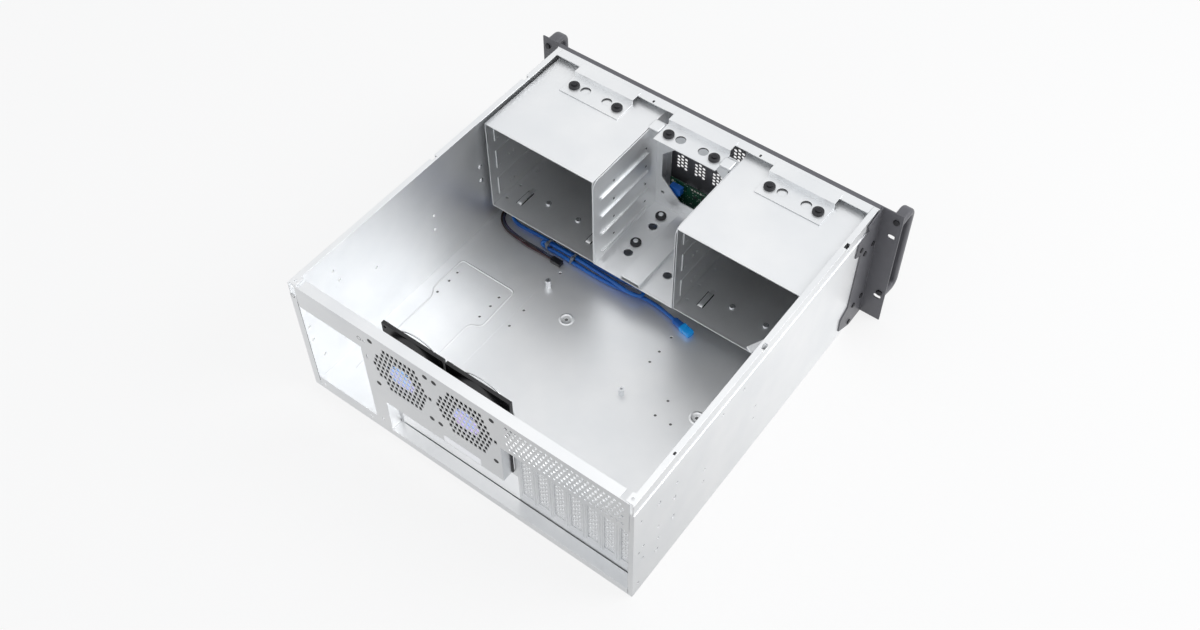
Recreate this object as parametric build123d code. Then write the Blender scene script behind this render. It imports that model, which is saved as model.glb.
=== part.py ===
from build123d import *
import math
import os

os.makedirs("parts", exist_ok=True)

# Empty four-unit rackmount server case, lid taken off, in millimetres.
# X runs across the case, Y from the front to the rear, Z up. The case is drawn with its rear face
# at y = 0 and its front towards -Y, and is moved at the end so that the origin is the middle of its base.

# Overall sizes of the folded body
body_width = 430.0
body_height = 176.0
body_depth = 441.0
sheet = 1.0
front_sheet = 1.2
seat_gap = 0.3
seam_gap = 0.6
half_width = body_width / 2
front_face = -body_depth

# Side walls: the top band steps in so that the lid lies flush over it
lid_step_height = 17.0
lid_step_depth = 1.0
lid_flange_width = 5.5
lid_slot_length = 8.0
lid_slot_from_rear = 221.6
lid_slot_from_front = 61.0
corner_tab_front = -13.0
corner_tab_width = 9.0
corner_tab_hole = 3.2

# Rear face
rear_flange_left = 9.0
rear_flange_right = 5.0
rear_lip_height = 10.0
rear_lip_inset = 112.0
rear_lip_left = half_width - rear_lip_inset
shelf_depth = 14.0
recess_depth = 15.0
recess_step = 3.0
recess_left = rear_lip_left - recess_step
recess_top = 63.0
fan_panel_edge = 43.2
vent_strip_height = 51.0
vent_strip_bottom = body_height - vent_strip_height
rear_top_flange = 12.0
rear_top_flange_left = half_width - 15.4
rear_top_flange_right = 16.8 - half_width
supply_opening_reach = 94.5
supply_opening_left = half_width - supply_opening_reach
supply_opening_bottom = 19.0
supply_opening_height = 124.0

# Vents punched in the rear panel
vent_pitch_x = 6.0
vent_pitch_z = 6.6
vent_hole_width = 3.6
vent_hole_height = 5.2
vent_rows = 6
vent_strip_side = 10.0
vent_strip_step = 7.6
grille_pitch_x = 5.6
grille_pitch_z = 7.9
grille_hole_width = 3.7
grille_hole_height = 6.0
grille_half_width = 39.0
grille_half_height = 36.0
grille_top_width = 41.0

# Rear fans
fan_size = 80.0
fan_depth = 25.0
fan_screw_spacing = 71.5
fan_beside_supply = 51.8
fan_pitch = 82.9
fan_centres_x = (supply_opening_left - fan_beside_supply, supply_opening_left - fan_beside_supply - fan_pitch)
fan_panel_right = fan_centres_x[1] - fan_panel_edge
fan_below_top = 47.0
fan_centre_z = body_height - fan_below_top
fan_bore = 76.0
fan_flange = 4.0
fan_hub_radius = 16.0
fan_blade_count = 7
fan_blade_angle = 55.0
fan_tip_clearance = 1.2
fan_shaft_radius = 1.5
fan_bearing_clearance = 0.05
fan_arm_count = 4
guard_wire = 1.4

# Recessed connector plate and card slots
board_opening_width = 158.75
board_opening_height = 44.45
board_opening_inset = 5.1
board_opening_right = fan_panel_right - board_opening_inset
board_opening_bottom = 11.0
slot_pitch = 20.32
first_slot_step = 16.9
first_slot_x = fan_panel_right - first_slot_step
slot_opening_width = 12.6
slot_opening_bottom = 28.0
slot_shelf_below_top = 43.0
slot_shelf_height = body_height - slot_shelf_below_top
slot_head = 9.0
slot_opening_top = slot_shelf_height - slot_head
slot_shelf_depth = 12.5
cover_width = 18.4
cover_sheet = 0.86
cover_tab_depth = 13.0
cover_foot_width = 10.2
cover_foot_bottom = 12.0
cover_bottom = 20.0

# Front
bezel_depth = 6.0
bezel_sheet = 1.2
front_flange_depth = 11.0
drive_bay_side = 1.2
drive_bay_gap = 0.6
drive_bay_count = 3
drive_bay_sill = 2.5
drive_bay_head = 3.5
bay_cover_gap = 0.4
bay_cover_sheet = 2.0
bay_cover_clip_depth = 26.0

# Drive cages
cage_depth = 143.8
cage_bottom = 34.0
cage_below_top = 7.0
cage_side_gap = 8.5
cage_to_bracket = 0.6

# Centre bracket and front fan plate
bracket_outer = 54.9
bracket_behind_front = 25.0
bracket_past_cages = 1.0
bracket_below_cages = 1.0
rail_count = 4
first_rail_above_floor = 11.4
rail_top_space = 33.6
rail_front_inset = 19.0
rail_rear_inset = 13.5
rail_reach = 2.6
rail_drop = 5.0
fan_plate_aperture = 91.4
fan_plate_aperture_above_floor = 21.4
fan_plate_screw_spacing = 87.2

# Hangers that hold the cages and the fan plate under the front flange
hanger_width = 82.0
hanger_tab_inset = 6.0
hanger_step_inset = 23.0
hanger_rear_inset = 52.5
grommet_offset = 30.3
grommet_inset = 38.0
entry_hole_offset = 15.0
grommet_outer_radius = 6.6
grommet_neck_radius = 4.2
grommet_thickness = 3.0

# Rack ears and bow handles
ear_reach = 26.3
ear_sheet = 1.6
rack_slot_rise = 101.6
rack_slot_edge = 8.75
rack_slot_length = 9.5
rack_slot_width = 6.6
handle_reach = 30.0
handle_bar_width = 14.0
handle_bar_thickness = 8.5
handle_bottom = 34.0
handle_foot_bottom = 41.0
handle_below_top = 8.0

# Board standoffs on the floor
standoff_height = 10.5
standoff_flats = 6.0
standoff_places = ((93.6, -258.4), (-65.0, -186.3))

# Front port board, its sockets and the controls on the bezel
port_board_right = -36.0
port_board_left = 42.0
port_board_bottom = 40.0
port_board_top = 74.0
port_board_thickness = 1.6
port_board_inset = 12.0
port_centres_x = (22.0, 2.0)
port_centre_z = 55.0
port_width = 14.5
port_height = 7.2
control_x = -26.0
power_button_z = 64.0
power_button_diameter = 11.0
reset_button_z = 50.0
reset_button_diameter = 4.0
button_clearance = 0.25
button_travel = 1.0
light_x = (-13.0, -40.0)
light_diameter = 3.0

# Values worked out from the ones above
wall_inside = half_width - sheet
step_inside = half_width - lid_step_depth - sheet
step_bottom = body_height - lid_step_height
front_panel_rear = front_face + front_sheet
bezel_front = front_face - bezel_depth
rear_panel_left = half_width - rear_flange_left - seam_gap
rear_panel_right = -half_width + rear_flange_right + seam_gap
supply_opening_top = supply_opening_bottom + supply_opening_height
fan_rear = -sheet
fan_front = fan_rear - fan_depth
slot_plate_rear = -recess_depth
slot_plate_front = slot_plate_rear - sheet
slot_plate_left = rear_lip_left - 2.0
slot_plate_right = rear_panel_right
slot_count = int((first_slot_x - slot_plate_right) / slot_pitch + 0.5)
vent_strip_right = -half_width + vent_strip_side
vent_strip_left = fan_panel_right - vent_strip_step
cage_outer_x = half_width - cage_side_gap
cage_inner_x = bracket_outer + cage_to_bracket
cage_width = cage_outer_x - cage_inner_x
bay_centre_x = (cage_outer_x + cage_inner_x) / 2
cage_front = front_panel_rear
cage_rear = cage_front + cage_depth
cage_top = body_height - cage_below_top
cage_height = cage_top - cage_bottom
drive_bay_width = cage_width - 2 * drive_bay_side
drive_bay_bottom = cage_bottom + drive_bay_sill
drive_bay_stack = cage_top - drive_bay_head - drive_bay_bottom
drive_bay_pitch = (drive_bay_stack + drive_bay_gap) / drive_bay_count
drive_bay_height = drive_bay_pitch - drive_bay_gap
bracket_front = front_face + bracket_behind_front
bracket_rear = cage_rear + bracket_past_cages
bracket_top = cage_top - bracket_below_cages
rail_pitch = (bracket_top - rail_top_space - cage_bottom - first_rail_above_floor) / (rail_count - 1)
rail_heights = [cage_bottom + first_rail_above_floor + number * rail_pitch for number in range(rail_count)]
rail_front = bracket_front + rail_front_inset
rail_rear = bracket_rear - rail_rear_inset
fan_plate_aperture_bottom = cage_bottom + fan_plate_aperture_above_floor
hanger_centres = (bay_centre_x + 1.0, 0.0, -bay_centre_x - 1.0)
hanger_tab_front = front_face + hanger_tab_inset
hanger_step = front_face + hanger_step_inset
hanger_rear = front_face + hanger_rear_inset
hanger_plate_height = cage_top + seat_gap
grommet_y = front_face + grommet_inset
ear_inner = half_width + ear_sheet
ear_outer = half_width + ear_reach
rack_slot_x = ear_outer - rack_slot_edge
rack_slot_heights = (body_height / 2 - rack_slot_rise / 2, body_height / 2 + rack_slot_rise / 2)
handle_top = body_height - handle_below_top
port_board_rear = front_face + port_board_inset
front_reach = bezel_front - handle_reach
origin_shift = Vector(0, -front_reach / 2, 0)


def block(x_range, y_range, z_range):
    """A box between two values on each axis."""
    size = [abs(pair[1] - pair[0]) for pair in (x_range, y_range, z_range)]
    low = [min(pair) for pair in (x_range, y_range, z_range)]
    return Box(*size, align=(Align.MIN,) * 3).moved(Location(Vector(*low)))


def ring(points):
    """A closed outline through points on a flat sheet."""
    return Wire.make_polygon([Vector(u, v, 0) for u, v in points], close=True)


def square_hole(u, v, width, height):
    """A rectangular hole about its centre."""
    a = width / 2
    b = height / 2
    return ring([(u - a, v - b), (u + a, v - b), (u + a, v + b), (u - a, v + b)])


def round_hole(u, v, diameter):
    """A round hole about its centre."""
    return Wire.make_circle(diameter / 2, Plane(origin=(u, v, 0)))


def long_hole(u, v, width, height):
    """A hole with two round ends, longer along whichever of its two sizes is the larger."""
    r = min(width, height) / 2
    h = max(width, height) / 2 - r
    places = [(-r, -h), (-r, h), (0, h + r), (r, h), (r, -h), (0, -h - r)]
    if width > height:
        places = [(b, a) for a, b in places]
    points = [Vector(u + a, v + b) for a, b in places]
    return Wire([
        Edge.make_line(points[0], points[1]),
        Edge.make_three_point_arc(points[1], points[2], points[3]),
        Edge.make_line(points[3], points[4]),
        Edge.make_three_point_arc(points[4], points[5], points[0]),
    ])


def many_sided_hole(u, v, across, sides, turn=0.0):
    """A regular hole with flat sides, given by the distance across them."""
    r = across / 2 / math.cos(math.pi / sides)
    angles = [math.radians(turn) + 2 * math.pi * k / sides for k in range(sides)]
    return ring([(u + r * math.cos(t), v + r * math.sin(t)) for t in angles])


SHEET_PLANES = {
    "x": Plane(origin=(0, 0, 0), x_dir=(0, 1, 0), z_dir=(1, 0, 0)),
    "y": Plane(origin=(0, 0, 0), x_dir=(1, 0, 0), z_dir=(0, -1, 0)),
    "z": Plane(origin=(0, 0, 0), x_dir=(1, 0, 0), z_dir=(0, 0, 1)),
}
SHEET_DIRECTIONS = {"x": Vector(1, 0, 0), "y": Vector(0, 1, 0), "z": Vector(0, 0, 1)}


def flat_sheet(axis, low, high, outline, holes=()):
    """A sheet that is thin along one axis, from low to high, with an outline and holes in its plane.

    The plane's two directions are y and z for a sheet across X, x and z across Y, x and y across Z.
    """
    face = Face(ring(outline) if isinstance(outline, list) else outline, list(holes))
    placed = SHEET_PLANES[axis].from_local_coords(face).moved(Location(SHEET_DIRECTIONS[axis] * low))
    return Solid.extrude(placed, SHEET_DIRECTIONS[axis] * (high - low))


def rectangle(u_range, v_range):
    """The outline of a rectangle."""
    u_low, u_high = u_range
    v_low, v_high = v_range
    return [(u_low, v_low), (u_high, v_low), (u_high, v_high), (u_low, v_high)]


def rod(axis, centre, radius, low, high):
    """A round bar along an axis, between two values on it; centre is the other two coordinates."""
    planes = {
        "x": Plane(origin=(low, centre[0], centre[1]), x_dir=(0, 1, 0), z_dir=(1, 0, 0)),
        "y": Plane(origin=(centre[0], low, centre[1]), x_dir=(1, 0, 0), z_dir=(0, 1, 0)),
        "z": Plane(origin=(centre[0], centre[1], low), x_dir=(1, 0, 0), z_dir=(0, 0, 1)),
    }
    return Solid.make_cylinder(radius, high - low, planes[axis])


def pan_screw(axis, centre, under_head, head_radius, head_height, shank_radius, shank_length, sign=1):
    """A screw with a domed head that stands on under_head along the axis; its shank goes the other way."""
    near = under_head + sign * head_height
    head = rod(axis, centre, head_radius, min(under_head, near), max(under_head, near))
    far = [edge for edge in head.edges() if abs(_along(edge.center(), axis) - near) < 1e-6]
    head = head.fillet(min(head_height, head_radius) * 0.45, far)
    end = under_head - sign * shank_length
    shank = rod(axis, centre, shank_radius, min(under_head, end), max(under_head, end))
    return head + shank


def _along(point, axis):
    return {"x": point.X, "y": point.Y, "z": point.Z}[axis]


def mirrored(shape):
    """The same piece on the other side of the case."""
    return shape.mirror(Plane.YZ)


nodes = {}


# Chassis tray: floor, both side walls with their stepped tops, the rear lip and the shelf over it
holes_from_left = [
    (21.8, -210.5), (22.2, -195.2), (22.2, -174.7), (84.9, -210.9), (85.1, -195.1), (84.9, -176.1),
    (119.9, -213.4), (120.7, -186.2), (119.5, -281.8),
]
holes_from_right = [
    (149.4, -282.6), (148.9, -258.4), (149.3, -240.5), (102.9, -209.8), (103.3, -186.2), (83.3, -186.5),
]
floor_holes = [(wall_inside - across, y) for across, y in holes_from_left]
floor_holes += [(across - wall_inside, y) for across, y in holes_from_right]
floor_dimples = [(wall_inside - 167.5, -231.9), (64.7 - wall_inside, -210.0)]
floor_hole_diameter = 3.4
dimple_hole_diameter = 4.5
right_wall_holes = [
    (-11.2, -41.6), (-41.0, 82.4), (-41.5, 58.7), (-16.8, 80.6), (-9.4, 76.1), (-16.2, 58.0), (-9.8, 15.1),
    (-69.4, -51.5), (-119.4, 58.2), (-119.5, 81.0), (-145.0, -29.3), (-181.8, -28.9), (-212.1, 81.0),
    (-211.0, 60.0),
]
right_wall_large_holes = [(-40.4, -49.3), (-66.9, 100.1), (-66.0, 65.4), (-39.8, 37.7)]
left_wall_holes = [
    (-56.3, -37.8), (-62.0, -58.0), (-113.1, 89.4), (-207.2, 89.2), (-205.8, 66.9), (-10.3, 90.8),
    (-10.8, 68.2), (-19.8, 32.0),
]
wall_hole_diameter = 3.6
wall_large_diameter = 6.0
floor_front = front_panel_rear


def side_wall(hole_places, large_places=()):
    """The +X wall of the tray, with its holes, stepped top band and folded lid flange.

    Each hole is given by its y and its height above the floor, or below the top where that is negative.
    """
    holes = [round_hole(y, z % body_height, wall_hole_diameter) for y, z in hole_places]
    holes += [round_hole(y, z % body_height, wall_large_diameter) for y, z in large_places]
    lower = flat_sheet("x", wall_inside, half_width, rectangle((floor_front, 0), (0, step_bottom)), holes)
    band = block((step_inside, half_width - lid_step_depth), (floor_front, 0), (step_bottom - sheet, body_height))
    flange = block((step_inside - lid_flange_width, step_inside), (floor_front, corner_tab_front),
                   (body_height - sheet, body_height))
    tab = flat_sheet("z", body_height - sheet, body_height,
                     rectangle((step_inside - corner_tab_width, step_inside), (corner_tab_front, -sheet - seat_gap)),
                     [round_hole(step_inside - corner_tab_width / 2, corner_tab_front / 2, corner_tab_hole)])
    wall = lower + [band, flange, tab]
    slots = [
        block((step_inside - lid_flange_width / 2, half_width), (y, y + lid_slot_length),
              (body_height - 5 * sheet, body_height + 1))
        for y in (-lid_slot_from_rear, front_face + lid_slot_from_front)
    ]
    return wall - slots


def make_tray():
    floor = flat_sheet(
        "z", 0, sheet, rectangle((-wall_inside, wall_inside), (floor_front, 0)),
        [round_hole(x, y, floor_hole_diameter) for x, y in floor_holes]
        + [round_hole(x, y, dimple_hole_diameter) for x, y in floor_dimples],
    )
    left_wall = side_wall(left_wall_holes)
    right_wall = mirrored(side_wall(right_wall_holes, right_wall_large_holes))
    left_flange = block((half_width - rear_flange_left, wall_inside), (-sheet, 0), (0, step_bottom))
    right_flange = block((-wall_inside, -half_width + rear_flange_right), (-sheet, 0), (0, step_bottom))
    lip = block((rear_panel_right, rear_lip_left), (-sheet, 0), (0, rear_lip_height))
    shelf = block((rear_panel_right, rear_lip_left), (-shelf_depth, 0),
                  (rear_lip_height - sheet, rear_lip_height))
    return floor + [left_wall, right_wall, left_flange, right_flange, lip, shelf]


nodes["chassis_tray"] = make_tray()


# Rear panel: two fan grilles, the vent strip over the card slots, and the folded top edge
def grille_holes(centre_x, centre_z):
    """Staggered slots inside a flat-sided outline over a fan."""
    holes = []
    rows = int(2 * grille_half_height / grille_pitch_z)
    columns = int(2 * grille_half_width / grille_pitch_x)
    for row in range(rows):
        z = (row - (rows - 1) / 2) * grille_pitch_z
        reach = grille_half_width
        slope = (grille_half_width - grille_top_width / 2) / grille_half_height
        reach -= slope * (abs(z) + grille_hole_height / 2)
        for column in range(columns + 1):
            x = (column - columns / 2 + (row % 2) / 2 - 0.25) * grille_pitch_x
            if abs(x) + grille_hole_width / 2 <= reach + grille_pitch_x / 2:
                holes.append(square_hole(centre_x + x, centre_z + z, grille_hole_width, grille_hole_height))
    return holes


def tall_hole(x, z):
    """A six-sided vent hole, taller than it is wide."""
    a = vent_hole_width / 2
    b = vent_hole_height / 2
    right_side = [(x, z - b), (x + a, z - b / 2), (x + a, z + b / 2)]
    left_side = [(x, z + b), (x - a, z + b / 2), (x - a, z - b / 2)]
    return ring(right_side + left_side)


def vent_strip_holes():
    """Rows of vent holes, each row half a pitch along from the next."""
    holes = []
    middle = (vent_strip_bottom + body_height - sheet) / 2
    columns = int((vent_strip_left - vent_strip_right) / vent_pitch_x)
    for row in range(vent_rows):
        z = middle + (row - (vent_rows - 1) / 2) * vent_pitch_z
        for column in range(columns):
            x = vent_strip_right + (column + 0.5 + (row % 2) / 2) * vent_pitch_x
            holes.append(tall_hole(x, z))
    return holes


fan_hole_diameter = 6.4
supply_screw_places = (
    (half_width - 84.8, 9.5), (half_width - 16.1, 9.5), (half_width - 103.6, 21.3),
    (half_width - 101.5, body_height - 18.4),
)
supply_screw_diameter = 3.6
supply_slot_place = (half_width - 101.1, body_height - 44.5)
supply_slot_size = (2.0, 7.0)


def make_rear_panel():
    half = fan_screw_spacing / 2
    outline = [
        (rear_lip_left + seat_gap, sheet), (rear_panel_left, sheet),
        (rear_panel_left, supply_opening_bottom), (supply_opening_left, supply_opening_bottom),
        (supply_opening_left, supply_opening_top), (rear_panel_left, supply_opening_top),
        (rear_panel_left, body_height), (rear_panel_right, body_height),
        (rear_panel_right, vent_strip_bottom), (fan_panel_right, vent_strip_bottom),
        (fan_panel_right, recess_top), (recess_left, recess_top),
        (recess_left, rear_lip_height + seat_gap), (rear_lip_left + seat_gap, rear_lip_height + seat_gap),
    ]
    holes = vent_strip_holes()
    for centre_x in fan_centres_x:
        holes += grille_holes(centre_x, fan_centre_z)
        holes += [round_hole(centre_x + a * half, fan_centre_z + b * half, fan_hole_diameter)
                  for a in (-1, 1) for b in (-1, 1)]
    holes += [round_hole(x, z, supply_screw_diameter) for x, z in supply_screw_places]
    holes.append(long_hole(*supply_slot_place, *supply_slot_size))
    panel = flat_sheet("y", -sheet, 0, outline, holes)
    top_flange = block((rear_top_flange_right, rear_top_flange_left), (-rear_top_flange, -sheet),
                       (body_height - sheet, body_height))
    side_flange = block((fan_panel_right, fan_panel_right + sheet), (slot_plate_rear + seat_gap, -sheet),
                        (recess_top, vent_strip_bottom + sheet))
    soffit = block((fan_panel_right, recess_left + sheet), (slot_plate_rear + seat_gap, -sheet),
                   (recess_top, recess_top + sheet))
    recess_side = block((recess_left, recess_left + sheet), (slot_plate_rear + seat_gap, -sheet),
                        (rear_lip_height + seat_gap, recess_top))
    return panel + [top_flange, side_flange, soffit, recess_side]


nodes["rear_panel"] = make_rear_panel()


# Recessed plate: the board connector opening, seven card slots and the ledge that the covers screw to
ridge_width = 1.6
ridge_height = 0.6
cover_screw_hole = 3.6


def slot_x(number):
    """The middle of a card slot, counted from the connector opening."""
    return first_slot_x - number * slot_pitch


def make_slot_plate():
    outline = [
        (slot_plate_left, sheet), (slot_plate_left, recess_top + 2 * sheet),
        (fan_panel_right - 2 * sheet, recess_top + 2 * sheet), (fan_panel_right - 2 * sheet, slot_shelf_height),
        (slot_plate_right, slot_shelf_height), (slot_plate_right, sheet),
    ]
    holes = [square_hole(board_opening_right + board_opening_width / 2,
                         board_opening_bottom + board_opening_height / 2,
                         board_opening_width, board_opening_height)]
    slot_middle = (slot_opening_bottom + slot_opening_top) / 2
    slot_height = slot_opening_top - slot_opening_bottom
    for number in range(slot_count):
        holes.append(square_hole(slot_x(number), slot_middle, slot_opening_width, slot_height))
    plate = flat_sheet("y", slot_plate_front, slot_plate_rear, outline, holes)
    ledge_left = fan_panel_right - 2 * sheet
    screw_y = slot_plate_rear + slot_shelf_depth / 2
    ledge = flat_sheet(
        "z", slot_shelf_height - sheet, slot_shelf_height,
        rectangle((slot_plate_right, ledge_left), (slot_plate_front, slot_plate_rear + slot_shelf_depth)),
        [round_hole(slot_x(number), screw_y, cover_screw_hole) for number in range(slot_count)],
    )
    side = block((slot_plate_right, slot_plate_right + sheet), (slot_plate_rear, -sheet - seat_gap),
                 (rear_lip_height + seat_gap, vent_strip_bottom))
    ridges = []
    for number in range(slot_count):
        for sign in (-1, 1):
            x = slot_x(number) + sign * (slot_opening_width / 2 + 1.4 * ridge_width)
            ridges.append(block((x - ridge_width / 2, x + ridge_width / 2),
                                (slot_plate_rear, slot_plate_rear + ridge_height),
                                (slot_opening_bottom - 6, slot_opening_top)))
    return plate + [ledge, side] + ridges


nodes["io_slot_plate"] = make_slot_plate()


# Card slot covers: seven perforated blanks, each hung by a screwed tab at its top
cover_hole_across = 3.2
cover_hole_rows = 12
cover_gap = 0.1


def make_slot_cover():
    """One cover about x = 0, behind the plate, with staggered holes and a bent tab that takes the screw."""
    back = slot_plate_front - cover_gap
    half = cover_width / 2
    foot = cover_foot_width / 2
    top = slot_shelf_height + cover_gap
    outline = [(-foot, cover_foot_bottom), (foot, cover_foot_bottom), (foot, cover_bottom), (half, cover_bottom),
               (half, top + cover_sheet), (-half, top + cover_sheet), (-half, cover_bottom), (-foot, cover_bottom)]
    pitch = (slot_opening_top - slot_opening_bottom) / (cover_hole_rows + 1)
    holes = []
    for row in range(cover_hole_rows):
        z = slot_opening_bottom + (row + 0.75) * pitch
        holes.append(many_sided_hole(-slot_opening_width / 4 - 0.4, z, cover_hole_across, 6))
        holes.append(many_sided_hole(slot_opening_width / 4 + 0.4, z, cover_hole_across, 6))
        holes.append(many_sided_hole(0, z + pitch / 2, cover_hole_across, 6))
    blank = flat_sheet("y", back - cover_sheet, back, outline, holes)
    screw_y = slot_plate_rear + slot_shelf_depth / 2
    tab = flat_sheet("z", top, top + cover_sheet, rectangle((-half, half), (back, back + cover_tab_depth)),
                     [round_hole(0, screw_y, cover_screw_hole)])
    return blank + tab


slot_cover = make_slot_cover()
for number in range(slot_count):
    nodes[f"slot_cover_{number + 1}"] = slot_cover.moved(Location((slot_x(number), 0, 0)))

slot_screws = []
for number in range(slot_count):
    screw_y = slot_plate_rear + slot_shelf_depth / 2
    slot_screws.append(pan_screw("z", (slot_x(number), screw_y),
                                 slot_shelf_height + cover_gap + cover_sheet, 3.4, 2.2, 1.5, 6.0))
nodes["slot_cover_screws"] = slot_screws


# Steel front panel with its folded top flange, two drive openings and a window behind the vents
window_half_width = 49.0
window_bottom = 42.0
window_top = body_height - 12.0


def make_front_panel():
    bay_middle_z = drive_bay_bottom + drive_bay_stack / 2
    openings = [square_hole(sign * bay_centre_x, bay_middle_z, drive_bay_width, drive_bay_stack) for sign in (-1, 1)]
    openings.append(square_hole(0, (window_bottom + window_top) / 2, 2 * window_half_width,
                                window_top - window_bottom))
    panel = flat_sheet("y", front_face, front_panel_rear,
                       rectangle((-half_width, half_width), (0, body_height)), openings)
    reach = step_inside - lid_flange_width - seat_gap
    flange = block((-reach, reach), (front_panel_rear, front_face + front_flange_depth + front_sheet),
                   (body_height - sheet, body_height))
    return panel + flange


nodes["front_panel"] = make_front_panel()


# Anthracite bezel: a folded sheet with hexagonal vents between the two drive openings
vent_group_pitch_x = 24.9
vent_group_columns = 3
vent_group_rows = 4
hex_across = 4.2
hex_pitch = 5.2
bezel_vent_bottom = 78.0
bezel_vent_group_pitch = 27.5


def bezel_vents():
    """Twelve groups of hexagons, four across and three high."""
    holes = []
    for group in range(4):
        for level in range(3):
            for column in range(vent_group_columns):
                for row in range(vent_group_rows):
                    x = (group - 1.5) * vent_group_pitch_x + (column - 1) * hex_pitch
                    z = bezel_vent_bottom + level * bezel_vent_group_pitch + (row + (column % 2) / 2) * hex_pitch
                    holes.append(many_sided_hole(x, z, hex_across, 6))
    return holes


def make_bezel():
    half = half_width - seat_gap
    bay_middle_z = drive_bay_bottom + drive_bay_stack / 2
    holes = [square_hole(sign * bay_centre_x, bay_middle_z, drive_bay_width, drive_bay_stack) for sign in (-1, 1)]
    holes += bezel_vents()
    holes += [square_hole(x, port_centre_z, port_width + 2 * seat_gap, port_height + 2 * seat_gap)
              for x in port_centres_x]
    holes.append(round_hole(control_x, power_button_z, power_button_diameter + 2 * button_clearance))
    holes.append(round_hole(control_x, reset_button_z, reset_button_diameter + 2 * button_clearance))
    holes += [round_hole(x, reset_button_z, light_diameter) for x in light_x]
    face = flat_sheet("y", bezel_front, bezel_front + bezel_sheet, rectangle((-half, half), (0, body_height)), holes)
    depth_range = (bezel_front + bezel_sheet, front_face)
    edges = [
        block((-half, half), depth_range, (body_height - bezel_sheet, body_height)),
        block((-half, half), depth_range, (0, bezel_sheet)),
        block((-half, -half + bezel_sheet), depth_range, (bezel_sheet, body_height - bezel_sheet)),
        block((half - bezel_sheet, half), depth_range, (bezel_sheet, body_height - bezel_sheet)),
    ]
    return face + edges


nodes["front_bezel"] = make_bezel()


# Drive-bay covers: plastic plates that fill the drive openings, with a clip at each side
clip_sheet = 1.4


def make_bay_cover(side, level):
    """One cover: side is -1 or 1, level counts up from the lowest bay."""
    x = side * bay_centre_x
    width = drive_bay_width - 2 * bay_cover_gap
    low = drive_bay_bottom + level * drive_bay_pitch + bay_cover_gap / 2
    height = drive_bay_height - bay_cover_gap
    outer = block((x - width / 2, x + width / 2), (bezel_front, front_face), (low, low + height))
    hollow = block((x - width / 2 + bay_cover_sheet, x + width / 2 - bay_cover_sheet),
                   (bezel_front + bay_cover_sheet, front_face + 1),
                   (low + bay_cover_sheet, low + height - bay_cover_sheet))
    clips = []
    for sign in (-1, 1):
        edge = x + sign * width / 2
        clips.append(block((edge - sign * clip_sheet, edge), (front_face, front_face + bay_cover_clip_depth),
                           (low + height * 0.3, low + height * 0.7)))
    return (outer - hollow) + clips


for side, side_name in ((1, "left"), (-1, "right")):
    for level in range(drive_bay_count):
        nodes[f"bay_cover_{side_name}_{level + 1}"] = make_bay_cover(side, level)


# Drive cages: welded sheet tubes, open at the rear, with pressed drive rails on both side walls.
# A place across the cage is measured from its outer wall, or from its inner wall where it is negative.
rail_ridge = 0.8
rail_ridge_width = 1.6
rib_width = 6.0
rib_height = 26.0
rib_from_rear = 14.0
cage_bay_pitch = (cage_height - 2 * sheet) / drive_bay_count
cage_hole_diameter = 3.2
lance_length = 30.0
lance_width = 5.0
cage_screw_insets = (53.0, -53.5)
cage_screw_y = cage_rear - 40.5
cage_screw_places = [cage_outer_x - inset % cage_width for inset in cage_screw_insets]
left_cage_holes = ((7.1, 44.2), (8.4, 74.1), (7.1, 18.7))
right_cage_holes = ((-6.5, 19.1), (-6.5, 44.5), (-7.4, 74.0))
lance_insets = (25.0, -23.5)
lance_from_rear = 34.0


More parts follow.
